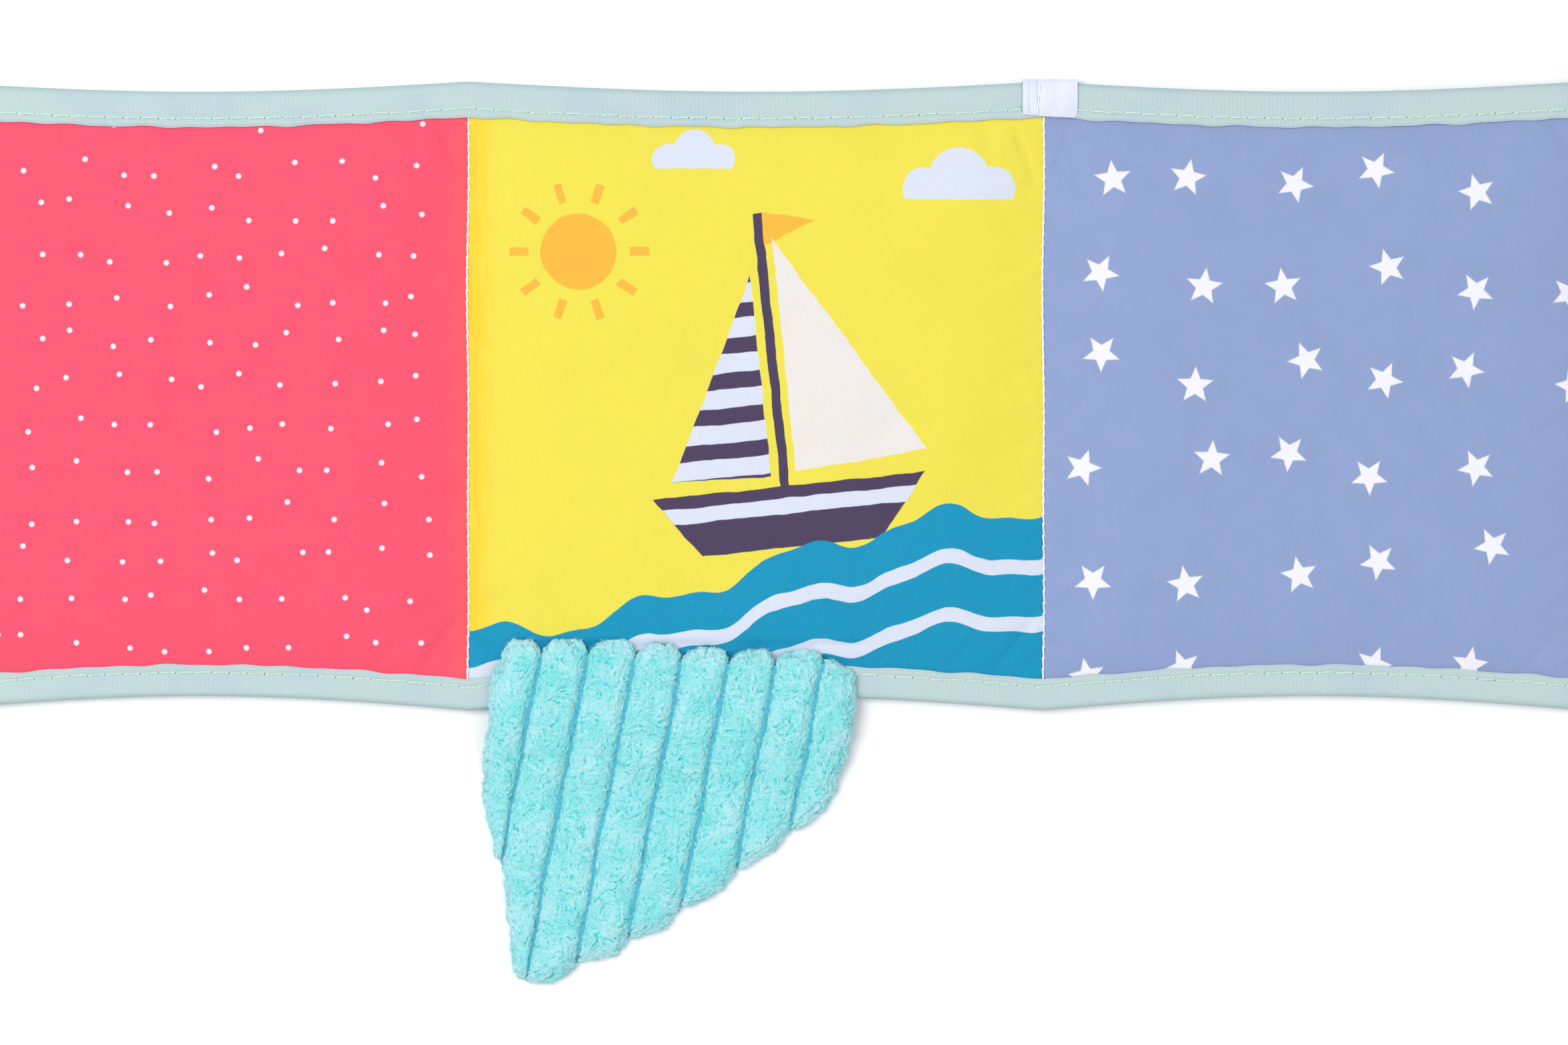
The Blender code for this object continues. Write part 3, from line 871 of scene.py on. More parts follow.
def tapeRing(width, wander):
    # The closed outline of a folded tape
    stitch, roll = width - tape["stitchFromInner"], tape["roll"]
    far = np.concatenate([np.linspace(width, stitch, 8), np.linspace(stitch, roll, 7)[1:]])
    height = tape["half"] - tape["stitchDip"] * np.exp(-((far - stitch) / tape["dipReach"]) ** 2)
    height += tape["lip"] * np.exp(-((far - (stitch + width) / 2) / tape["lipReach"]) ** 2)
    height -= tape["edgeDrop"] * smooth((far - width + tape["edgeRun"]) / tape["edgeRun"])
    turn = np.linspace(0, math.pi / 2, 7)[1:]
    far = np.concatenate([far, roll * (1 - np.sin(turn))])
    height = np.concatenate([height, tape["half"] * np.cos(turn)])
    far = far + wander * smooth((far - width + tape["wanderRun"]) / tape["wanderRun"])
    return foldedRing(far, height, -height, tape["thickness"])


def makeTape(name, stations, spot, width, seed, mitred=(False, False), turned=False):
    # One length of binding; spot gives the plan place of what lies so far in from the edge at a station
    rings, maps = [], []
    for number, station in enumerate(stations):
        slant = int(number == 0 and mitred[0]) - int(number == len(stations) - 1 and mitred[1])
        wander = 0.0 if slant else tape["innerWander"] * float(ripple(station, tape["wanderLengths"], seed))
        far, height, around = tapeRing(width, wander)
        reach = station + slant * np.maximum(far, 0)
        rings.append(np.stack([*spot(reach, far), strip["middleHeight"] + height], -1))
        maps.append(np.stack([reach, around], -1))
    verts, faces, uv = sweep(rings, maps)
    return makePiece(name, verts, [face[::-1] for face in faces] if turned else faces, uv, [tapeFinish])


def tapeStations(start, end, mitred, width):
    # Places of the rings; none stands inside a mitre, which it would cross
    first = start + (width + tape["cornerClear"] if mitred[0] else 0)
    last = end - (width + tape["cornerClear"] if mitred[1] else 0)
    within = np.linspace(first, last, max(int((last - first) / tape["station"]), 6) + 1)
    return np.concatenate([[start] * mitred[0], within, [end] * mitred[1]])


def rowSpot(side):
    return lambda reach, far: (reach, edgeAt(reach, side) - side * far)


def endSpot(edge, inward):
    return lambda reach, far: (edge + inward * far, reach)


print("binding")
for rowName, (side, width) in tapeRows.items():
    for pageName, page in pages.items():
        start, end = cutBack(page, tape["mitreGap"], strip["foldZone"])
        stations = tapeStations(start, end, page["bound"], width)
        piece = makeTape(f"{pageName}_{rowName}_tape", stations, rowSpot(side), width,
                         tape["rowSeed"] + side, page["bound"], side > 0)
        follow(piece, "mint_tape", pageName)
        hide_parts(f"{pageName}_{rowName}_binding")
    for foldName, bodies in foldSides.items():
        stations = foldPlace(bodies) + np.linspace(-strip["foldZone"], strip["foldZone"], 17)
        piece = makeTape(f"{foldName}_{rowName}_tape", stations, rowSpot(side), width,
                         tape["rowSeed"] + side, turned=side > 0)
        follow(piece, "mint_tape", *bodies)
        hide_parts(*(f"{body}_{rowName}_binding" for body in bodies))
endEdges = {"left_page": (-endX, 1), "right_page": (endX, -1)}       # outer edge and the way inward
for pageName, (edge, inward) in endEdges.items():
    corner = strip["pageHeight"] / 2 - tape["mitreGap"]
    stations = tapeStations(-corner, corner, (True, True), endWidth)
    piece = makeTape(pageName + "_end_tape", stations, endSpot(edge, inward), endWidth,
                     tape["endSeed"], (True, True), inward > 0)
    follow(piece, "mint_tape", pageName)
    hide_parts(pageName + "_end_binding")


# Stitches

def newTree(name, inputs):
    # A Geometry Nodes tree with a mesh in, a mesh out and named sizes
    tree = bpy.data.node_groups.new(name, "GeometryNodeTree")
    tree.interface.new_socket("Geometry", in_out="INPUT", socket_type="NodeSocketGeometry")
    for label, value in inputs.items():
        kind = "NodeSocketInt" if label == "Seed" else "NodeSocketFloat"
        tree.interface.new_socket(label, in_out="INPUT", socket_type=kind).default_value = value
    tree.interface.new_socket("Geometry", in_out="OUTPUT", socket_type="NodeSocketGeometry")
    source = tree.nodes.new("NodeGroupInput")
    return tree, {socket.name: Wire(tree, socket) for socket in source.outputs if socket.name}


def endTree(tree, geometry, material):
    real = add(tree, "GeometryNodeRealizeInstances", None, {0: geometry})
    done = add(tree, "GeometryNodeSetMaterial", None, {"Geometry": real, "Material": material})
    sink = tree.nodes.new("NodeGroupOutput")
    tree.links.new(done.socket, sink.inputs[0])
    return tree


def at(tree, x=0.0, y=0.0, z=0.0):
    return add(tree, "ShaderNodeCombineXYZ", None, {0: x, 1: y, 2: z})


def alongPath(tree, sizes, pitch):
    # Even places along the helper's path, and the turn that sets X along it
    curve = add(tree, "GeometryNodeMeshToCurve", None, {0: sizes["Geometry"]})
    values = {"Curve": curve, "Length": sizes[pitch]}
    even = add(tree, "GeometryNodeResampleCurve", {"mode": "LENGTH"}, values)
    points = add(tree, "GeometryNodeCurveToPoints", {"mode": "EVALUATED"}, {0: even}, None)
    turn = add(tree, "FunctionNodeAlignRotationToVector", {"axis": "X", "pivot_axis": "Z"},
               {"Vector": Wire(tree, points.outputs["Tangent"])})
    return Wire(tree, points.outputs["Points"]), turn


def placed(tree, points, shape, **sockets):
    return add(tree, "GeometryNodeInstanceOnPoints", None, {"Points": points, "Instance": shape, **sockets})


def chance(tree, least, most, seed):
    # A random value for each point
    return add(tree, "FunctionNodeRandomValue", {"data_type": "FLOAT"}, {2: least, 3: most, "Seed": seed}, 1)


def rounded(tree, shape):
    return add(tree, "GeometryNodeSetShadeSmooth", None, {0: shape, "Shade Smooth": True})


def stitchTree(name, sewing, material):
    # Stitches of one length along a path, each bowed up and its ends sunk in the cloth
    tree, sizes = newTree(name, sewing)
    half, slant, bow = sizes["Stitch Length"] * 0.5, sizes["Slant"], sizes["Bow"]
    shape = add(tree, "GeometryNodeCurvePrimitiveBezierSegment", {"mode": "POSITION"},
                {"Resolution": 9, "Start": at(tree, -half, -slant, bow * -0.9),
                 "Start Handle": at(tree, half * -0.7, sizes["Sway"] - slant, bow),
                 "End Handle": at(tree, half * 0.7, sizes["Sway"] + slant, bow),
                 "End": at(tree, half, slant, bow * -0.9)})
    profile = add(tree, "GeometryNodeCurvePrimitiveCircle", None,
                  {"Resolution": 7, "Radius": sizes["Thread Radius"]})
    tube = add(tree, "GeometryNodeCurveToMesh", None, {0: shape, 1: profile, "Fill Caps": True})
    stitch = rounded(tree, tube)
    points, turn = alongPath(tree, sizes, "Pitch")
    jitter = chance(tree, 0.92, 1.06, sizes["Seed"])
    stitches = placed(tree, points, stitch, Rotation=turn, Scale=at(tree, jitter, 1.0, 1.0))
    return endTree(tree, stitches, material)


def holeTree(sewing, material):
    # A small dimple at each needle hole, dark with painted shade
    tree, sizes = newTree("needleHoleShades", sewing)
    values = {"Radius": sizes["Hole Radius"], "Subdivisions": 2}
    dimple = add(tree, "GeometryNodeMeshIcoSphere", None, values, "Mesh")
    points, turn = alongPath(tree, sizes, "Pitch")
    return endTree(tree, placed(tree, points, dimple, Rotation=turn, Scale=(1.0, 0.8, 0.35)), material)


def grown(name, verts, edges, tree, sizes, faces=(), attributes=None):
    # Runs a tree on a helper mesh and keeps the result as a plain mesh piece
    mesh = bpy.data.meshes.new(name + "Path")
    mesh.from_pydata(np.asarray(verts, float).tolist(), edges, list(faces))
    for label, values in (attributes or {}).items():
        mesh.attributes.new(label, "FLOAT", "POINT").data.foreach_set("value", np.asarray(values, np.float32))
    helper = bpy.data.objects.new(name + "Path", mesh)
    bpy.context.scene.collection.objects.link(helper)
    modifier = helper.modifiers.new("grow", "NODES")
    modifier.node_group = tree
    for item in tree.interface.items_tree:
        if item.in_out == "INPUT" and item.name in sizes:
            modifier[item.identifier] = sizes[item.name]
    done = helper.evaluated_get(bpy.context.evaluated_depsgraph_get())
    plain = bpy.data.meshes.new_from_object(done)
    plain.name = name
    helper.modifiers.remove(modifier)
    bpy.data.objects.remove(helper)
    bpy.data.meshes.remove(mesh)
    piece = bpy.data.objects.new(name, plain)
    bpy.context.scene.collection.objects.link(piece)
    return piece


def chain(*paths):
    # Points of one or more paths, and the edges that join them
    edges, count = [], 0
    for path in paths:
        edges += [(count + k, count + k + 1) for k in range(len(path) - 1)]
        count += len(path)
    return np.concatenate(paths), edges


bindingStitch = {"Pitch": 0.00485, "Stitch Length": 0.0046, "Thread Radius": 0.00021, "Bow": 0.00022,
                 "Slant": 0.00008, "Sway": 0.00022, "Seed": 5}
seamStitch = {"Pitch": 0.0031, "Stitch Length": 0.0034, "Thread Radius": 0.00027, "Bow": 0.00026,
              "Slant": 0.00012, "Sway": 0.0, "Seed": 9}
needleHoleShade = {"Pitch": bindingStitch["Pitch"], "Hole Radius": 0.00032}
sewing = {
    "step": 0.002, "sink": 0.00012,
    "foldReach": 2 * bindingStitch["Pitch"],     # no page's run of stitches comes nearer a fold than this
    "fromCorner": 0.0125,
    "underTab": (0.0725, 0.0900),                # no stitch shows under the tab
}
bindingTree = stitchTree("bindingStitches", bindingStitch, bindingThread)
seamTree = stitchTree("foldStitches", seamStitch, foldThread)
holesTree = holeTree(needleHoleShade, holeShadeFinish)


def stitchLine(start, end, width, spot, face):
    # Points of a stitch line along the binding; the face is 1 on the front and -1 on the back
    along = np.linspace(start, end, max(int((end - start) / sewing["step"]), 2) + 1)
    x, y = spot(along, width - tape["stitchFromInner"] - sewing["sink"] * ripple(along, (0.013, 0.031), 61))
    height = strip["middleHeight"] + face * (tape["half"] - tape["stitchDip"] + sewing["sink"])
    return np.stack([x + 0 * along, y + 0 * along, height + 0 * along], -1)


def sewBinding(label, start, end, width, spot, bodies):
    # A row of stitches on each face, and between those of the front the needle holes, small dimples dark with
    # painted shade
    for face, faceName in ((1, "front"), (-1, "back")):
        path = chain(stitchLine(start, end, width, spot, face))
        sizes = dict(bindingStitch, Bow=face * bindingStitch["Bow"])
        piece = grown(f"{label}_{faceName}_stitches", *path, bindingTree, sizes)
        follow(piece, "mint_tape", *bodies)
    half = bindingStitch["Pitch"] / 2
    line = stitchLine(start + half, end + half, width, spot, 1) - (0, 0, sewing["sink"])
    follow(grown(label + "_front_needle_holes", *chain(line), holesTree, needleHoleShade), "mint_tape", *bodies)


print("stitches")
for rowName, (side, width) in tapeRows.items():
    runs = {(name,): cutBack(page, sewing["fromCorner"], sewing["foldReach"]) for name, page in pages.items()}
    for bodies in foldSides.values():
        runs[bodies] = foldPlace(bodies) - bindingStitch["Pitch"], foldPlace(bodies) + bindingStitch["Pitch"]
    if side > 0:
        tabStart, tabEnd = sewing["underTab"]
        runs["middle_page",] = runs["middle_page",][0], tabStart
        runs["right_page",] = tabEnd, runs["right_page",][1]
        del runs["middle_page", "right_page"]
    for bodies, (start, end) in runs.items():
        label = bodies[0] if len(bodies) == 1 else foldNames[bodies]
        sewBinding(f"{label}_{rowName}", start, end, width, rowSpot(side), bodies)
for pageName, (edge, inward) in endEdges.items():
    reach = strip["pageHeight"] / 2 - sewing["fromCorner"]
    sewBinding(pageName + "_end", -reach, reach, endWidth, endSpot(edge, inward), (pageName,))
for foldName, bodies in foldSides.items():
    for face, faceName in ((1, "front"), (-1, "back")):
        reach = strip["pageHeight"] / 2 - fold["threadFromEdge"]
        y = np.linspace(-reach, reach, 80)
        x = foldPlace(bodies) + fold["threadWander"] * ripple(y, (0.061, 0.113), 71)
        lift = pad["border"] - (fold["pinch"] if face > 0 else 0) + fold["threadRise"]
        line = np.stack([x, y, strip["middleHeight"] + face * lift + 0 * y], -1)
        piece = grown(f"{foldName}_{faceName}_thread", *chain(line), seamTree,
                      dict(seamStitch, Bow=face * seamStitch["Bow"]))
        follow(piece, "white_satin", *bodies)


# Satin tab

tab = {
    "left": 0.0742, "right": 0.0894, "outer": 0.0882, "half": 0.00225, "thickness": 0.00038,
    "drop": 0.0101,             # how far its front hangs down the page
    "slant": 0.0009,            # how much further its right side hangs
    "foldedStrip": 0.0042,      # the left strip is folded over itself
    "foldHeight": 0.00040, "pleat": 0.0019, "corner": 0.0014, "roll": 0.0016,
    "clear": 0.00002,           # its back from the table
    "doubledRuns": (0.0004, 0.0005), "pleatWidth": 0.00022, "pleatShare": 0.75,
    "wave": 0.00008, "waveRate": 1030,
    "droop": (0.00035, 0.00018, 0.00006),      # how far the last rows of its front bend down
    "stitchRise": 0.00005,
    "stitchTop": (0.0789, 0.0856), "stitchEnd": (0.0783, 0.0797),
}


def tabRing(x):
    # The closed outline of the tab's folded loop at one place across it
    fromLeft, fromRight = x - tab["left"], tab["right"] - x
    drop = tab["drop"] + tab["slant"] * fromLeft / (tab["right"] - tab["left"])
    drop -= tab["corner"] - math.sqrt(max(tab["corner"] ** 2 - min(fromRight - tab["corner"], 0.0) ** 2, 0.0))
    inner, outer = tab["doubledRuns"]
    doubled = smooth((tab["foldedStrip"] - fromLeft) / inner) * smooth(fromLeft / outer)
    pleat = math.exp(-((fromLeft - tab["pleat"]) / tab["pleatWidth"]) ** 2)
    half = tab["half"] + tab["foldHeight"] * doubled * (1 - tab["pleatShare"] * pleat)
    half = half + tab["wave"] * math.sin(x * tab["waveRate"])
    turn = np.linspace(0, math.pi / 2, 7)[1:]
    far = np.concatenate([np.linspace(drop, tab["roll"], 12), tab["roll"] * (1 - np.sin(turn))])
    high = np.concatenate([np.full(12, half), half * np.cos(turn)])
    high[:3] -= tab["droop"]
    return foldedRing(far, high, -np.minimum(high, strip["middleHeight"] - tab["clear"]), tab["thickness"])


print("satin tab")
rings, maps = [], []
for x in np.linspace(tab["left"], tab["right"], 110):
    far, height, around = tabRing(x)
    rings.append(np.stack([x + 0 * far, tab["outer"] - far, strip["middleHeight"] + height], -1))
    maps.append(np.stack([x + 0 * far, around], -1))
verts, faces, uv = sweep(rings, maps)
piece = makePiece("satin_tab_folded", verts, [face[::-1] for face in faces], uv, [satinFinish])
follow(piece, "white_satin", "middle_page", "right_page")
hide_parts("satin_tab")
tabStitch = {**seamStitch, "Pitch": 0.0026, "Stitch Length": 0.0027, "Thread Radius": 0.00022}
seamHeight = strip["middleHeight"] + tab["half"] + tab["stitchRise"]
line = np.linspace((*tab["stitchTop"], seamHeight), (*tab["stitchEnd"], seamHeight), 12)
follow(grown("tab_stitches", *chain(line), seamTree, tabStitch), "white_satin", "middle_page", "right_page")


def threadTail(name, strands, radius, finish):
    # Loose ends of thread, each a tapered tube along a bowed path
    verts, faces = [], []
    for start, middle, end in strands:
        share = np.linspace(0, 1, 9)[:, None]
        path = (1 - share) ** 2 * start + 2 * share * (1 - share) * middle + share ** 2 * end
        along = np.gradient(path, axis=0)
        along /= np.linalg.norm(along, axis=1, keepdims=True)
        across = np.cross(along, (0, 0, 1.0))
        across /= np.linalg.norm(across, axis=1, keepdims=True)
        upward = np.cross(across, along)
        turn = np.linspace(0, 2 * math.pi, 7)[:-1]
        size = radius * (1 - 0.55 * share ** 2)
        rings = [p + s * (np.cos(turn)[:, None] * a + np.sin(turn)[:, None] * u)
                 for p, s, a, u in zip(path, size, across, upward)]
        tube, sides, _ = sweep(rings, [np.zeros((6, 2))] * len(rings))
        faces += [tuple(len(verts) + k for k in face) for face in sides]
        verts += [tuple(v) for v in tube]
    return makePiece(name, verts, faces, None, [finish])


tails = {
    "radius": 0.00013,
    "rise": 0.0002,
    # Start, middle and end of each, in tenths of a millimetre from where the thread leaves the tape
    "strands": np.array([((0, 0, -3), (-2, 14, 4), (-9, 26, 2)), ((1, 0, -3), (1, 15, 5), (-3, 29, 3)),
                         ((2, 0, -3), (8, 3, 2), (12, -1, -1))]) * 0.0001,
}
tailPlace = (0.0735, 0.0782, strip["middleHeight"] + tape["half"] + tails["rise"])
tail = threadTail("binding_thread_tail", tails["strands"] + tailPlace, tails["radius"], bindingThread)
follow(tail, "mint_tape", "middle_page")


# Plush flap

flap = {
    "seamY": -0.0715, "lie": 0.00415, "drapeStart": 0.0165, "drapeRun": 0.0255, "lining": 0.0005,
    "firstGroove": -0.05953, "pitch": 0.01313, "lean": 0.195, "wales": 8, "bendEnd": 0.016,
    "base": 0.0002, "waleHeight": 0.0046, "groundHeight": 0.0026,
    "grooveHalf": 0.00018, "grooveWander": 0.0004,
    "squareness": 0.50,         # how upright the wales' sides are
    "fluff": 0.0008,            # pile that stands out past the wales' own edge
    "edgeWander": 0.0004, "topRound": 0.0040,
    # Inset from the outline, columns and start below the valleys of each cloth
    "liningSheet": (0.0016, 90, 0.0008), "groundSheet": (0.0024, 210, 0.0012),
    "edgeSteps": 900, "narrowestSheet": 0.004, "layerGap": 0.0001,
    "thinReach": 0.0060,        # the pile thins this near an edge
    "loopsFromTop": 0.002, "loopsFromEdge": 0.0012, "loopsRise": 0.00008,
    "row": 0.0008,
    "topRise": 0.0024,          # how far above its first row the pile starts to thicken
    "topRun": 0.012,            # the rows are level again this far below the sloping seam
    # How far below the seam's left end each wale starts, and each valley between two
    "waleTops": (-0.0033, -0.0035, -0.0034, -0.0024, -0.0012, -0.0005, -0.0007, 0.0016),
    "valleys": (-0.0009, -0.0005, 0.0003, 0.0012, 0.0018, 0.0022, 0.0018),
}
# Edges of the flap in millimetres, fluff and all, from the seam down: y, left x, right x
flapEdges = np.array([
    (-71.5, -71.0, 21.0), (-73.5, -71.6, 22.5), (-76.0, -72.9, 27.4), (-78.5, -74.1, 28.7),
    (-85.4, -74.5, 28.4), (-92.8, -75.3, 27.7), (-100.2, -76.4, 26.1), (-107.6, -76.8, 23.8),
    (-111.3, -76.8, 22.3), (-115.0, -76.2, 20.3), (-118.7, -75.5, 15.8), (-121.4, -74.7, 10.4),
    (-122.6, -74.4, 8.9), (-126.1, -73.5, 6.3), (-129.8, -72.5, 0.8),
    (-132.4, -71.4, -4.6), (-133.9, -70.6, -6.0), (-137.2, -70.5, -8.2), (-140.9, -70.4, -14.4),
    (-142.2, -70.3, -19.4), (-144.6, -70.3, -21.8), (-148.3, -69.4, -24.5), (-150.4, -69.0, -31.0),
    (-151.6, -68.9, -35.0), (-155.7, -68.8, -37.7), (-157.4, -68.8, -48.4), (-159.4, -68.6, -50.0),
    (-161.6, -67.6, -52.2), (-163.2, -64.6, -56.5), (-163.9, -61.8, -59.0)]) * millimetre
edgeY, edgeLeft, edgeRight = flapEdges[::-1].T
outlinePoints = np.concatenate([flapEdges[:, [1, 0]], flapEdges[::-1, [2, 0]]])
flapEnd = flap["seamY"] - edgeY[0]


def fromOutline(x, y):
    # Distance to the flap's side and bottom edges
    best = np.full(np.shape(x), 1.0)
    for (ax, ay), (bx, by) in zip(outlinePoints[:-1], outlinePoints[1:]):
        dx, dy = bx - ax, by - ay
        share = np.clip(((x - ax) * dx + (y - ay) * dy) / (dx * dx + dy * dy), 0, 1)
        best = np.minimum(best, np.hypot(x - ax - share * dx, y - ay - share * dy))
    return best


def underside(far):
    fallen = np.clip((np.maximum(far, 0) - flap["drapeStart"]) / flap["drapeRun"], 0, 1)
    return flap["lie"] * (0.5 + 0.5 * np.cos(math.pi * fallen))


def seamLine(x):
    # How far below the seam's left end the valleys start, along the sloping sewn edge
    places = flap["firstGroove"] + flap["pitch"] * np.arange(len(flap["valleys"]))
    return np.interp(x, places, flap["valleys"])


def fullness(x, y, fromTop):
    # The pile thins towards the flap's edges and its sewn top
    reach = flap["thinReach"]
    edge = 0.34 + 0.66 * np.sin(math.pi / 2 * np.clip(fromOutline(x, y) / reach, 0, 1))
    return edge * (0.40 + 0.60 * np.sin(math.pi / 2 * np.clip(fromTop / reach, 0, 1)))


def groundTop(x, far):
    # Height of the knit that the pile grows from
    full = fullness(x, flap["seamY"] - far, far - seamLine(x) + flap["topRise"])
    return underside(far) + flap["base"] + flap["groundHeight"] * full


def grooveX(number, far):
    # The line between two wales; 0 is left of the first wale
    base = flap["firstGroove"] + flap["pitch"] * (number - 1) - flap["lean"] * far
    return base + flap["grooveWander"] * ripple(far, (0.037, 0.061, 0.024), 80 + number)


def rowsDown(edges, start, inset, step, narrowest):
    # Even rows down the flap while it is wide enough, closer together where its sides run aslant
    far = np.linspace(start, flapEnd - inset, int((flapEnd - start) / step * 6))
    left, right = edges(far)
    wide = np.nonzero(right - left > narrowest)[0]
    walk = np.abs(np.diff([far, 0.4 * left, 0.4 * right])[:, wide[0]:wide[-1]]).max(0)
    walked = np.concatenate([[0], np.cumsum(walk)])
    return np.interp(np.arange(0, walked[-1], step), walked, far[wide[0]:wide[-1] + 1])


def sheetEdges(far, inset):
    # Left and right sides of a cloth drawn in square to the flap's outline
    y = flap["seamY"] - far
    left, right = np.interp(y, edgeY, edgeLeft), np.interp(y, edgeY, edgeRight)
    x = left + (right - left) * np.linspace(0, 1, flap["edgeSteps"])[:, None]
    within = fromOutline(x, y + 0 * x) >= inset
    first, last, columns = np.argmax(within, 0), -1 - np.argmax(within[::-1], 0), np.arange(len(far))
    return x[first, columns], np.where(within.any(0), x[last, columns], x[first, columns])


def wholeSheet(inset, columns, top):
    # Plan places of a cloth over the whole flap, and how far each is below the seam
    rows = rowsDown(lambda far: sheetEdges(far, inset), 0.0, inset, flap["row"], flap["narrowestSheet"])
    left, right = sheetEdges(rows, inset)
    lowered = np.clip(1 - rows / flap["topRun"], 0, 1)
    left = sheetEdges(rows + (seamLine(left) + top) * lowered, inset)[0]
    right = sheetEdges(rows + (seamLine(right) + top) * lowered, inset)[1]
    x = left + (right - left) * np.linspace(0, 1, columns)[:, None]
    far = rows + (seamLine(x) + top) * lowered
    return x, flap["seamY"] - far, far


def clothArea(grid):
    one, other = grid[1:, 1:] - grid[:-1, :-1], grid[1:, :-1] - grid[:-1, 1:]
    return float(np.linalg.norm(np.cross(one, other), axis=-1).sum() / 2)


def bendFlap(piece):
    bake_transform(piece)
    return piece


def layCloth(name, stands, front, back, finish):
    # Rows run down the flap, so the grids are turned over to face out
    verts, faces, _ = closedSheet(front[:, ::-1], back[:, ::-1])
    piece = bendFlap(makePiece(name, verts, faces, verts[:, :2], [finish]))
    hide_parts(stands)
    return piece


pile = {
    "cell": 0.0001, "step": 0.00015, "depth": 0.00064, "deepest": -0.8, "headings": 40,
    "lengths": (0.0016, 0.0022, 0.0028), "halfWidth": 0.00033, "bow": 0.00030,
    "locksPerArea": 1.1e6, "lockLength": 0.0030, "lockWidth": 0.0019, "wispsInLock": 12,
    "turnSize": 0.011, "margin": 0.004, "narrowest": 0.0016, "patch": (0.020, 0.098),
    "rimReach": 0.0006, "fuzzReach": 0.004, "lowest": 0.0001,
}


def drift(x, y, size, seed):
    # A smooth wandering value over a plane, about -1 to 1
    dice = np.random.default_rng(seed)
    total = 0
    for turn in dice.uniform(0, 2 * math.pi, 6):
        length, phase = size * dice.uniform(0.75, 1.5), dice.uniform(0, 2 * math.pi)
        total = total + np.sin(2 * math.pi * (x * math.cos(turn) + y * math.sin(turn)) / length + phase)
    return total / 3.0


def wispStamps():
    # Height of one wisp of pile for each length, heading and side that it bows to; it rises from root to tip
    stamps = []
    for length in pile["lengths"]:
        reach = int(length * 0.6 / pile["cell"]) + 2
        places = np.arange(-reach, reach + 1) * pile["cell"]
        across, down = np.meshgrid(places, places, indexing="ij")
        for turn in np.arange(pile["headings"]) * 2 * math.pi / pile["headings"]:
            for side in (-1, 1):
                share = (across * math.cos(turn) + down * math.sin(turn)) / length + 0.5
                bow = side * pile["bow"] * (4 * (share - 0.5) ** 2 - 0.4)
                off = down * math.cos(turn) - across * math.sin(turn) - bow
                half = pile["halfWidth"] * np.sqrt(np.clip(1 - ((share - 0.56) / 0.46) ** 2, 0, 1)) + 1e-9
                dome = np.sqrt(np.clip(1 - (off / half) ** 2, 0, 1))
                height = dome * (0.30 + 0.70 * smooth(share / 0.8))
                stamps.append((np.where(dome > 0, height, -9.0), np.clip(share, 0, 1)))
    return stamps


def brushedPile(wide, tall, seed, stamps):
    # Height map of brushed pile over a flat patch, locks of wisps that lie over each other, and a map of
    # painted highlight that pales each wisp towards its tip
    dice = np.random.default_rng(seed)
    locks, many, margin = int(wide * tall * pile["locksPerArea"]), pile["wispsInLock"], pile["margin"]
    lockX, lockY = dice.uniform(0, wide, locks), dice.uniform(0, tall, locks)
    heading = 2.0 * drift(lockX, lockY, pile["turnSize"], seed + 1) + dice.normal(0, 0.25, locks) - 0.5
    along = dice.uniform(-0.5, 0.5, (locks, many))
    across = dice.uniform(-0.5, 0.5, (locks, many))
    cos, sin = np.cos(heading)[:, None], np.sin(heading)[:, None]
    length, width = along * pile["lockLength"], across * pile["lockWidth"]
    x = (lockX[:, None] + length * cos - width * sin + margin) / pile["cell"]
    y = (lockY[:, None] + length * sin + width * cos + margin) / pile["cell"]
    turn = heading[:, None] - across + dice.normal(0, 0.12, (locks, many))
    rise = (dice.uniform(0, 0.8, locks)[:, None] + 0.55 * (1 - 3.2 * across ** 2) + 0.5 * along
            + dice.uniform(-0.12, 0.12, (locks, many)))
    kind = (dice.integers(0, len(pile["lengths"]), (locks, many)) * pile["headings"]
            + np.round(turn / (2 * math.pi) * pile["headings"]).astype(int) % pile["headings"]) * 2
    kind = (kind + dice.integers(0, 2, (locks, many))).ravel()
    shade = np.clip(dice.uniform(0.35, 1.0, locks)[:, None] + dice.uniform(-0.25, 0.25, (locks, many)), 0, 1)
    size = (int((wide + 2 * margin) / pile["cell"]) + 40, int((tall + 2 * margin) / pile["cell"]) + 40)
    height, tip = np.zeros(size, np.float32), np.zeros(size, np.float32)
    spots = zip(x.ravel().astype(int), y.ravel().astype(int), rise.ravel(), kind, shade.ravel())
    for spotX, spotY, lift, which, pale in spots:
        stamp, share = stamps[which]
        reach = stamp.shape[0] // 2
        if spotX < reach or spotY < reach or spotX + reach + 1 > size[0] or spotY + reach + 1 > size[1]:
            continue
        window = (slice(spotX - reach, spotX + reach + 1), slice(spotY - reach, spotY + reach + 1))
        raised = stamp + lift
        over = raised > height[window]
        height[window][over] = raised[over]
        tip[window][over] = share[over] * pale
    return height, tip


def softened(values, reach):
    # A box blur, twice, along both ways
    for axis in (0, 1, 0, 1):
        first, last = np.take(values, [0], axis), np.take(values, [-1], axis)
        padded = np.concatenate([first.repeat(reach + 1, axis), values, last.repeat(reach, axis)], axis)
        total = np.cumsum(padded, axis)
        places = np.arange(values.shape[axis])
        width = 2 * reach + 1
        values = (np.take(total, places + width, axis) - np.take(total, places, axis)) / width
    return values


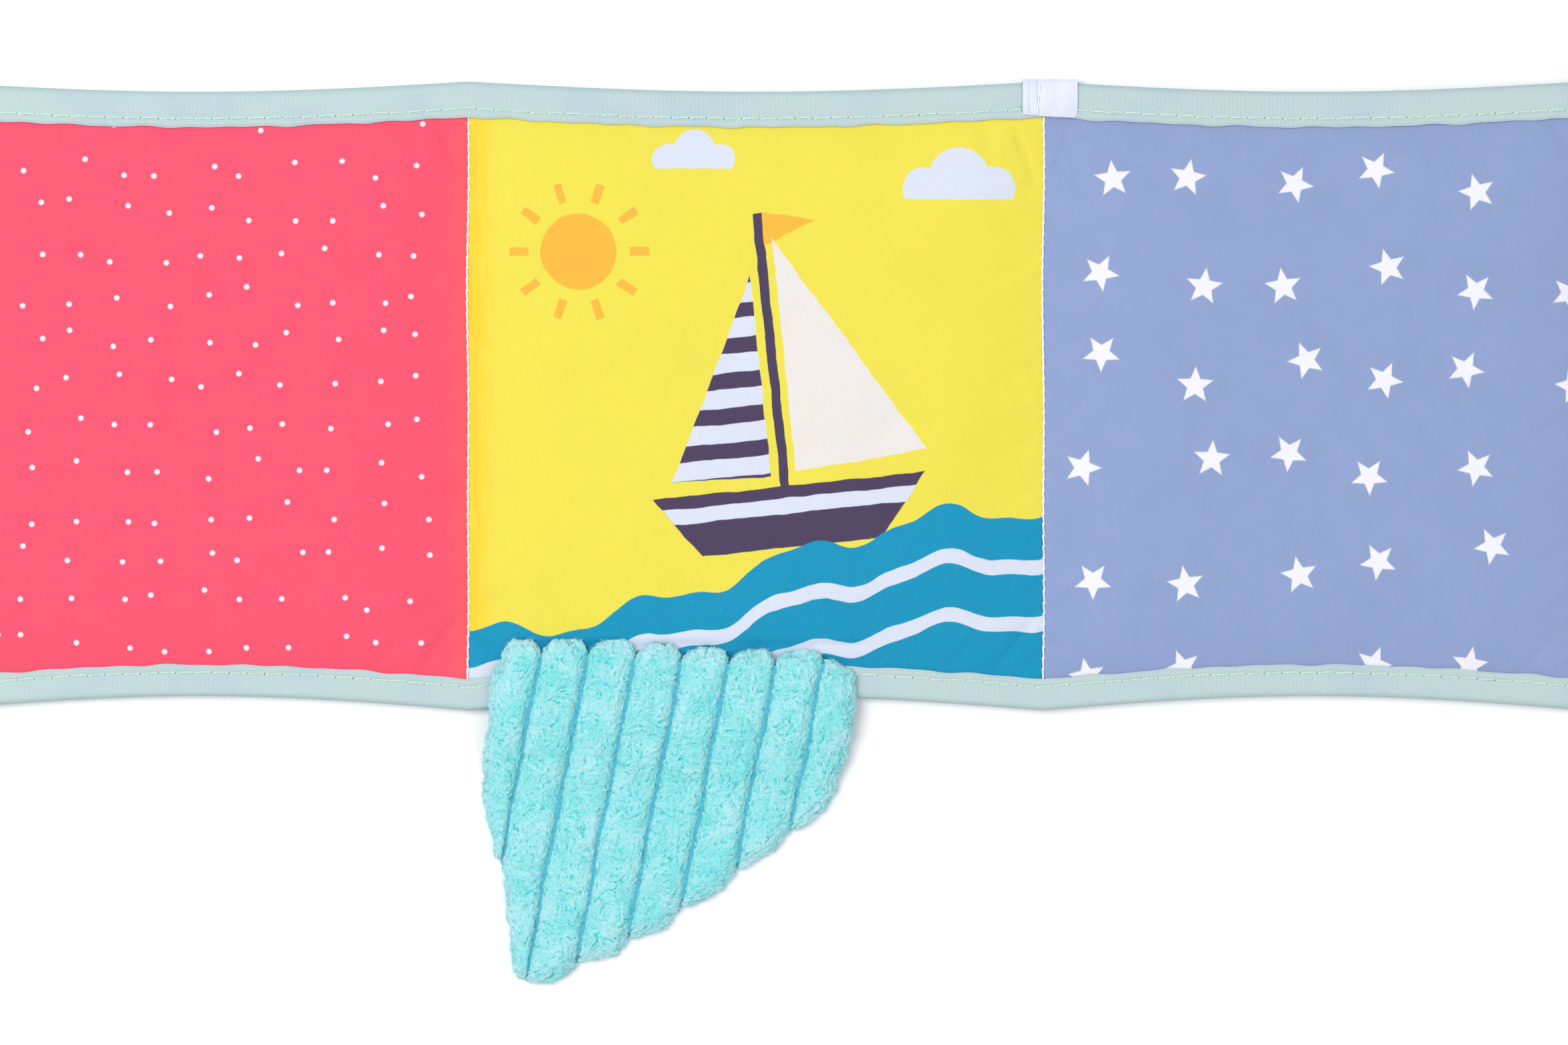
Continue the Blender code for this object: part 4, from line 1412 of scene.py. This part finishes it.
def sampled(values, x, y):
    # Values between the cells of a map
    left, low = np.floor(x).astype(int), np.floor(y).astype(int)
    partX, partY = x - left, y - low
    below = values[left, low] * (1 - partX) + values[left + 1, low] * partX
    above = values[left, low + 1] * (1 - partX) + values[left + 1, low + 1] * partX
    return below * (1 - partY) + above * partY


def waleEdges(number, far):
    # Left and right sides of a wale, with its rounded top
    y = flap["seamY"] - far
    half = flap["grooveHalf"] * (1 + 0.6 * ripple(far, (0.021, 0.043), 90 + number))
    left = np.interp(y, edgeY, edgeLeft) + flap["fluff"]
    left += flap["edgeWander"] * ripple(y, (0.0047, 0.0083, 0.0152), 120 + number)
    right = np.interp(y, edgeY, edgeRight) - flap["fluff"]
    right += flap["edgeWander"] * ripple(y, (0.0053, 0.0091, 0.0139), 130 + number)
    if number > 0:
        left = np.maximum(grooveX(number, far) + half, left)
    if number < flap["wales"] - 1:
        right = np.minimum(grooveX(number + 1, far) - half, right)
    fromRound = np.clip(flap["waleTops"][number] + flap["topRound"] - far, 0, None)
    fromRound = fromRound / (flap["topRound"] + 0.0002)
    rounding = np.sqrt(np.clip(1 - fromRound ** 2, 0.05, 1))
    middle = (left + right) / 2
    return middle + (left - middle) * rounding, middle + (right - middle) * rounding


def archPlaces():
    # Places round a wale's arch, as a share of its width and of its height, even along it
    turn = np.linspace(math.pi, 0, 400)
    share = (1 + np.sign(np.cos(turn)) * np.abs(np.cos(turn)) ** flap["squareness"]) / 2
    rise = np.clip(np.sin(turn), 0, 1) ** 0.72
    run = np.hypot(np.diff(share) * flap["pitch"] * 0.9, np.diff(rise) * flap["waleHeight"] * 0.6)
    run = np.concatenate([[0], np.cumsum(run)])
    even = np.linspace(0, run[-1], int(run[-1] / pile["step"]))
    return np.interp(even, run, share), np.interp(even, run, rise)


def makeWale(number, stamps):
    # One wale: a rounded ridge with brushed pile raised on it; returns its mesh and the painted shade and
    # highlight of its pile
    top = flap["waleTops"][number]
    far = rowsDown(lambda far: waleEdges(number, far), top, flap["fluff"], pile["step"], pile["narrowest"])
    left, right = waleEdges(number, far)
    share, rise = (places[:, None] for places in archPlaces())
    columns = len(share)
    x = left + (right - left) * share
    y = flap["seamY"] - far + 0 * x
    lumps = 1 + 0.06 * drift(x, y, 0.010, 100 + number) + 0.04 * drift(x, y, 0.005, 110 + number)
    high = flap["waleHeight"] * rise * fullness(x, y, far - top) * lumps
    body = np.stack([x, y, underside(far) + flap["base"] + high], -1)
    step = np.linalg.norm(np.diff(body, axis=0), axis=-1)
    around = np.concatenate([np.zeros((1, len(far))), np.cumsum(step, 0)])
    facing = np.cross(np.gradient(body, axis=1), np.gradient(body, axis=0))
    facing /= np.maximum(np.linalg.norm(facing, axis=-1, keepdims=True), 1e-12)
    heightMap, paintedHighlightMap = brushedPile(*pile["patch"], 200 + 3 * number, stamps)
    crease = heightMap - softened(heightMap, 5)
    level = np.maximum(heightMap - softened(heightMap, 22), pile["deepest"])
    beside = level[2:, 1:-1] + level[:-2, 1:-1] + level[1:-1, 2:] + level[1:-1, :-2]
    level[1:-1, 1:-1] = level[1:-1, 1:-1] / 2 + beside / 8
    spotX = (around - around[-1] / 2 + pile["patch"][0] / 2 + pile["margin"]) / pile["cell"]
    spotY = (far - top + pile["margin"]) / pile["cell"] + 0 * spotX
    rim = smooth(np.minimum(around, around[-1] - around) / pile["rimReach"])
    fuzz = pile["fuzzReach"]
    outer = np.clip(1 - fromOutline(x, y) / fuzz, 0, 1) + np.clip(1 - (far - top) / fuzz, 0, 1)
    outer = np.clip(outer, 0, 1)
    lift = pile["depth"] * sampled(level, spotX, spotY) * rim * (1 + 0.7 * outer)
    body = body + facing * lift[..., None]
    body[..., 2] = np.maximum(body[..., 2], pile["lowest"])
    index = np.arange(columns * len(far)).reshape(columns, len(far))
    a, b, c, d = index[:-1, :-1], index[1:, :-1], index[1:, 1:], index[:-1, 1:]
    faces = np.stack([a, d, c, b], -1).reshape(-1, 4).tolist()
    faces += np.stack([index[0, :-1], index[-1, :-1], index[-1, 1:], index[0, 1:]], -1).tolist()
    faces += [index[:, 0].tolist(), index[::-1, -1].tolist()]
    # Painted shade in the pile's creases; painted highlight on raised wisps, near the flap's outer edges and
    # at the wales' tops
    marks = {"tuftTip": np.clip(0.5 + sampled(crease, spotX, spotY) * 0.9, 0, 1).ravel(),
             "tuftShade": (sampled(paintedHighlightMap, spotX, spotY) + 0.55 * outer).ravel(),
             "edgeFuzz": (outer * rim).ravel()}
    return body.reshape(-1, 3), faces, marks


looseFibre = {"Edge Density": 3.0e6, "Loose Density": 1.5e5, "Fibre Length": 0.0011, "Fibre Radius": 0.00004,
              "Lowest": 0.00015, "Seed": 1}
grooveLoop = {"Rung Pitch": 0.00048, "Loop Width": 0.00050, "Loop Height": 0.00034}


def joined(tree, *parts):
    join = tree.nodes.new("GeometryNodeJoinGeometry")
    for part in parts:
        tree.links.new(part.socket, join.inputs[0])
    return Wire(tree, join.outputs[0])


def fibreTree():
    # Fine loose fibres that stand off the pile, most of them along the flap's edges
    tree, sizes = newTree("looseFibres", looseFibre)
    near = add(tree, "GeometryNodeInputNamedAttribute", {"data_type": "FLOAT"}, {"Name": "edgeFuzz"})
    facing = add(tree, "ShaderNodeSeparateXYZ", None, {0: add(tree, "GeometryNodeInputNormal")}, "Z")
    outward = add(tree, "FunctionNodeCompare", {"data_type": "FLOAT", "operation": "GREATER_THAN"},
                  {0: facing, 1: -0.1})
    scattered = add(tree, "GeometryNodeDistributePointsOnFaces", {"distribute_method": "RANDOM"},
                    {"Mesh": sizes["Geometry"], "Selection": outward, "Seed": sizes["Seed"],
                     "Density": near * sizes["Edge Density"] + sizes["Loose Density"]}, None)
    long = sizes["Fibre Length"]
    bowed = {"Start": (0.0, -0.15), "Start Handle": (0.02, 0.35),
             "End Handle": (0.45, 0.62), "End": (0.85, 0.42)}
    ends = {end: at(tree, long * x, 0.0, long * z) for end, (x, z) in bowed.items()}
    shape = add(tree, "GeometryNodeCurvePrimitiveBezierSegment", {"mode": "POSITION"},
                {"Resolution": 4, **ends})
    factor = add(tree, "GeometryNodeSplineParameter", None, None, "Factor")
    # Each fibre grows paler towards its end, as painted highlight
    marked = add(tree, "GeometryNodeStoreNamedAttribute", {"data_type": "FLOAT", "domain": "POINT"},
                 {"Geometry": shape, "Name": "tuftTip", "Value": 0.45 + factor * 0.45})
    circle = add(tree, "GeometryNodeCurvePrimitiveCircle", None,
                 {"Resolution": 3, "Radius": sizes["Fibre Radius"]})
    fibre = add(tree, "GeometryNodeCurveToMesh", None,
                {"Curve": marked, "Profile Curve": circle, "Scale": 1.15 - factor * 0.8, "Fill Caps": True})
    aligned = add(tree, "FunctionNodeAlignRotationToVector", {"axis": "Z"},
                  {"Vector": Wire(tree, scattered.outputs["Normal"])})
    angle = chance(tree, 0.0, 6.28, sizes["Seed"])
    twist = add(tree, "FunctionNodeAxisAngleToRotation", None, {"Axis": (0.0, 0.0, 1.0), "Angle": angle})
    turned = add(tree, "FunctionNodeRotateRotation", {"rotation_space": "LOCAL"}, {0: aligned, 1: twist})
    length = chance(tree, 0.6, 1.25, sizes["Seed"] + 7.0)
    points = Wire(tree, scattered.outputs["Points"])
    fibres = placed(tree, points, fibre, Rotation=turned, Scale=at(tree, length, length, length))
    fibres = add(tree, "GeometryNodeRealizeInstances", None, {0: fibres})
    spot = add(tree, "ShaderNodeSeparateXYZ", None, {0: add(tree, "GeometryNodeInputPosition")}, None)
    x, y, z = (Wire(tree, output) for output in spot.outputs)
    kept = add(tree, "GeometryNodeSetPosition", None,
               {"Geometry": fibres, "Position": at(tree, x, y, higher(z, sizes["Lowest"]))})
    return endTree(tree, rounded(tree, joined(tree, kept, sizes["Geometry"])), pileFinish)


def loopTree():
    # Two columns of small knit loops down a groove
    tree, sizes = newTree("grooveLoops", grooveLoop)
    pitch, width = sizes["Rung Pitch"], sizes["Loop Width"]
    ball = add(tree, "GeometryNodeMeshIcoSphere", None, {"Radius": 0.5, "Subdivisions": 1}, "Mesh")
    loops = []
    for side in (-1.0, 1.0):
        place = at(tree, pitch * (0.25 * side), width * (0.5 * side))
        size = at(tree, pitch * 0.86, width * 0.9, sizes["Loop Height"])
        values = {"Geometry": ball, "Translation": place, "Scale": size}
        loops.append(add(tree, "GeometryNodeTransform", None, values))
    points, turn = alongPath(tree, sizes, "Rung Pitch")
    return endTree(tree, placed(tree, points, rounded(tree, joined(tree, *loops)), Rotation=turn), knitFinish)


def grooveLine(number):
    # Where the knit shows between two wales
    far = np.arange(flap["valleys"][number - 1] + flap["loopsFromTop"], flapEnd, flap["row"])
    x = grooveX(number, far)
    left, right = sheetEdges(far, 0.0)
    good = (x > left + flap["loopsFromEdge"]) & (x < right - flap["loopsFromEdge"])
    stop = len(good) if good.all() else int(np.argmin(good))
    return np.stack([x, flap["seamY"] - far, groundTop(x, far) + flap["loopsRise"]], -1)[:stop]


print("plush flap")
x, y, far = wholeSheet(*flap["liningSheet"])
bottom = np.stack([x, y, underside(far)], -1)
lining = layCloth("flap_lining_cloth", "flap_lining",
                  bottom + (0, 0, flap["lining"]), bottom, liningFinish)
clothArea(bottom)
x, y, far = wholeSheet(*flap["groundSheet"])
bottom = np.stack([x, y, underside(far) + flap["lining"] + flap["layerGap"]], -1)
ground = layCloth("flap_ground_knit", "flap_plush",
                  np.stack([x, y, groundTop(x, far)], -1), bottom, knitFinish)
plush, fibres, stamps = [], fibreTree(), wispStamps()
for number in range(flap["wales"]):
    verts, faces, marks = makeWale(number, stamps)
    sizes = {**looseFibre, "Seed": number + 1}
    piece = grown(f"plush_wale_{number + 1}", verts, [], fibres, sizes, faces, marks)
    plush.append(bendFlap(piece))
    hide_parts("flap_plush")
    print("  ", piece.name, sum(len(polygon.vertices) - 2 for polygon in piece.data.polygons), "triangles")
lines = [grooveLine(number) for number in range(1, flap["wales"])]
plush.append(bendFlap(grown("flap_groove_loops", *chain(*lines), loopTree(), grooveLoop)))
clothArea(bottom)
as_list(plush)


# Floor, light and camera

studio = {
    "floor": (seenColour(250, 250, 252), seenColour(247, 247, 250)), "floorHalf": 3.0, "floorHeight": -0.0003,
    "world": 0.60,
    # Place, width and power of each light
    "lights": {"keyLight": ((-0.75, 0.35, 1.6), 1.2, 19.4), "fillLight": ((0.95, -0.5, 1.4), 1.3, 5.0)},
    "lens": 85.0, "sensor": 36.0, "camera": (0.00787, -0.0352, 1.0325),
}


def paleFloor():
    finish = Finish("paleFloor", roughness=0.9, specular=0.1)
    where = finish.place()
    grain = finish.noise(where, 60.0, 2.0)
    finish.set("Base Color", finish.mix(grain, *studio["floor"]))
    finish.set("Roughness", 0.85 + grain * 0.1)
    return finish.material


def makeStudio():
    half, low = studio["floorHalf"], studio["floorHeight"]
    corners = [(-half, -half, low), (half, -half, low), (half, half, low), (-half, half, low)]
    makePiece("studio_floor", corners, [(0, 1, 2, 3)], None, [paleFloor()])
    world = bpy.data.worlds.new("softStudio")
    bpy.context.scene.world = world
    world.use_nodes = True
    background = world.node_tree.nodes["Background"]
    background.inputs["Color"].default_value = (1.0, 1.0, 1.0, 1.0)
    background.inputs["Strength"].default_value = studio["world"]
    for name, (place, size, power) in studio["lights"].items():
        data = bpy.data.lights.new(name, "AREA")
        data.shape = "DISK"
        data.size = size
        data.energy = power
        light = bpy.data.objects.new(name, data)
        light.location = place
        light.rotation_euler = (-Vector(place)).to_track_quat("-Z", "Y").to_euler()
        bpy.context.scene.collection.objects.link(light)
    data = bpy.data.cameras.new("photoCamera")
    data.lens = studio["lens"]
    data.sensor_width = studio["sensor"]
    camera = bpy.data.objects.new("photoCamera", data)
    camera.location = studio["camera"]
    bpy.context.scene.collection.objects.link(camera)
    bpy.context.scene.camera = camera
    view = bpy.context.scene.view_settings
    view.view_transform = "Standard"
    view.look = "None"


print("studio")
makeStudio()
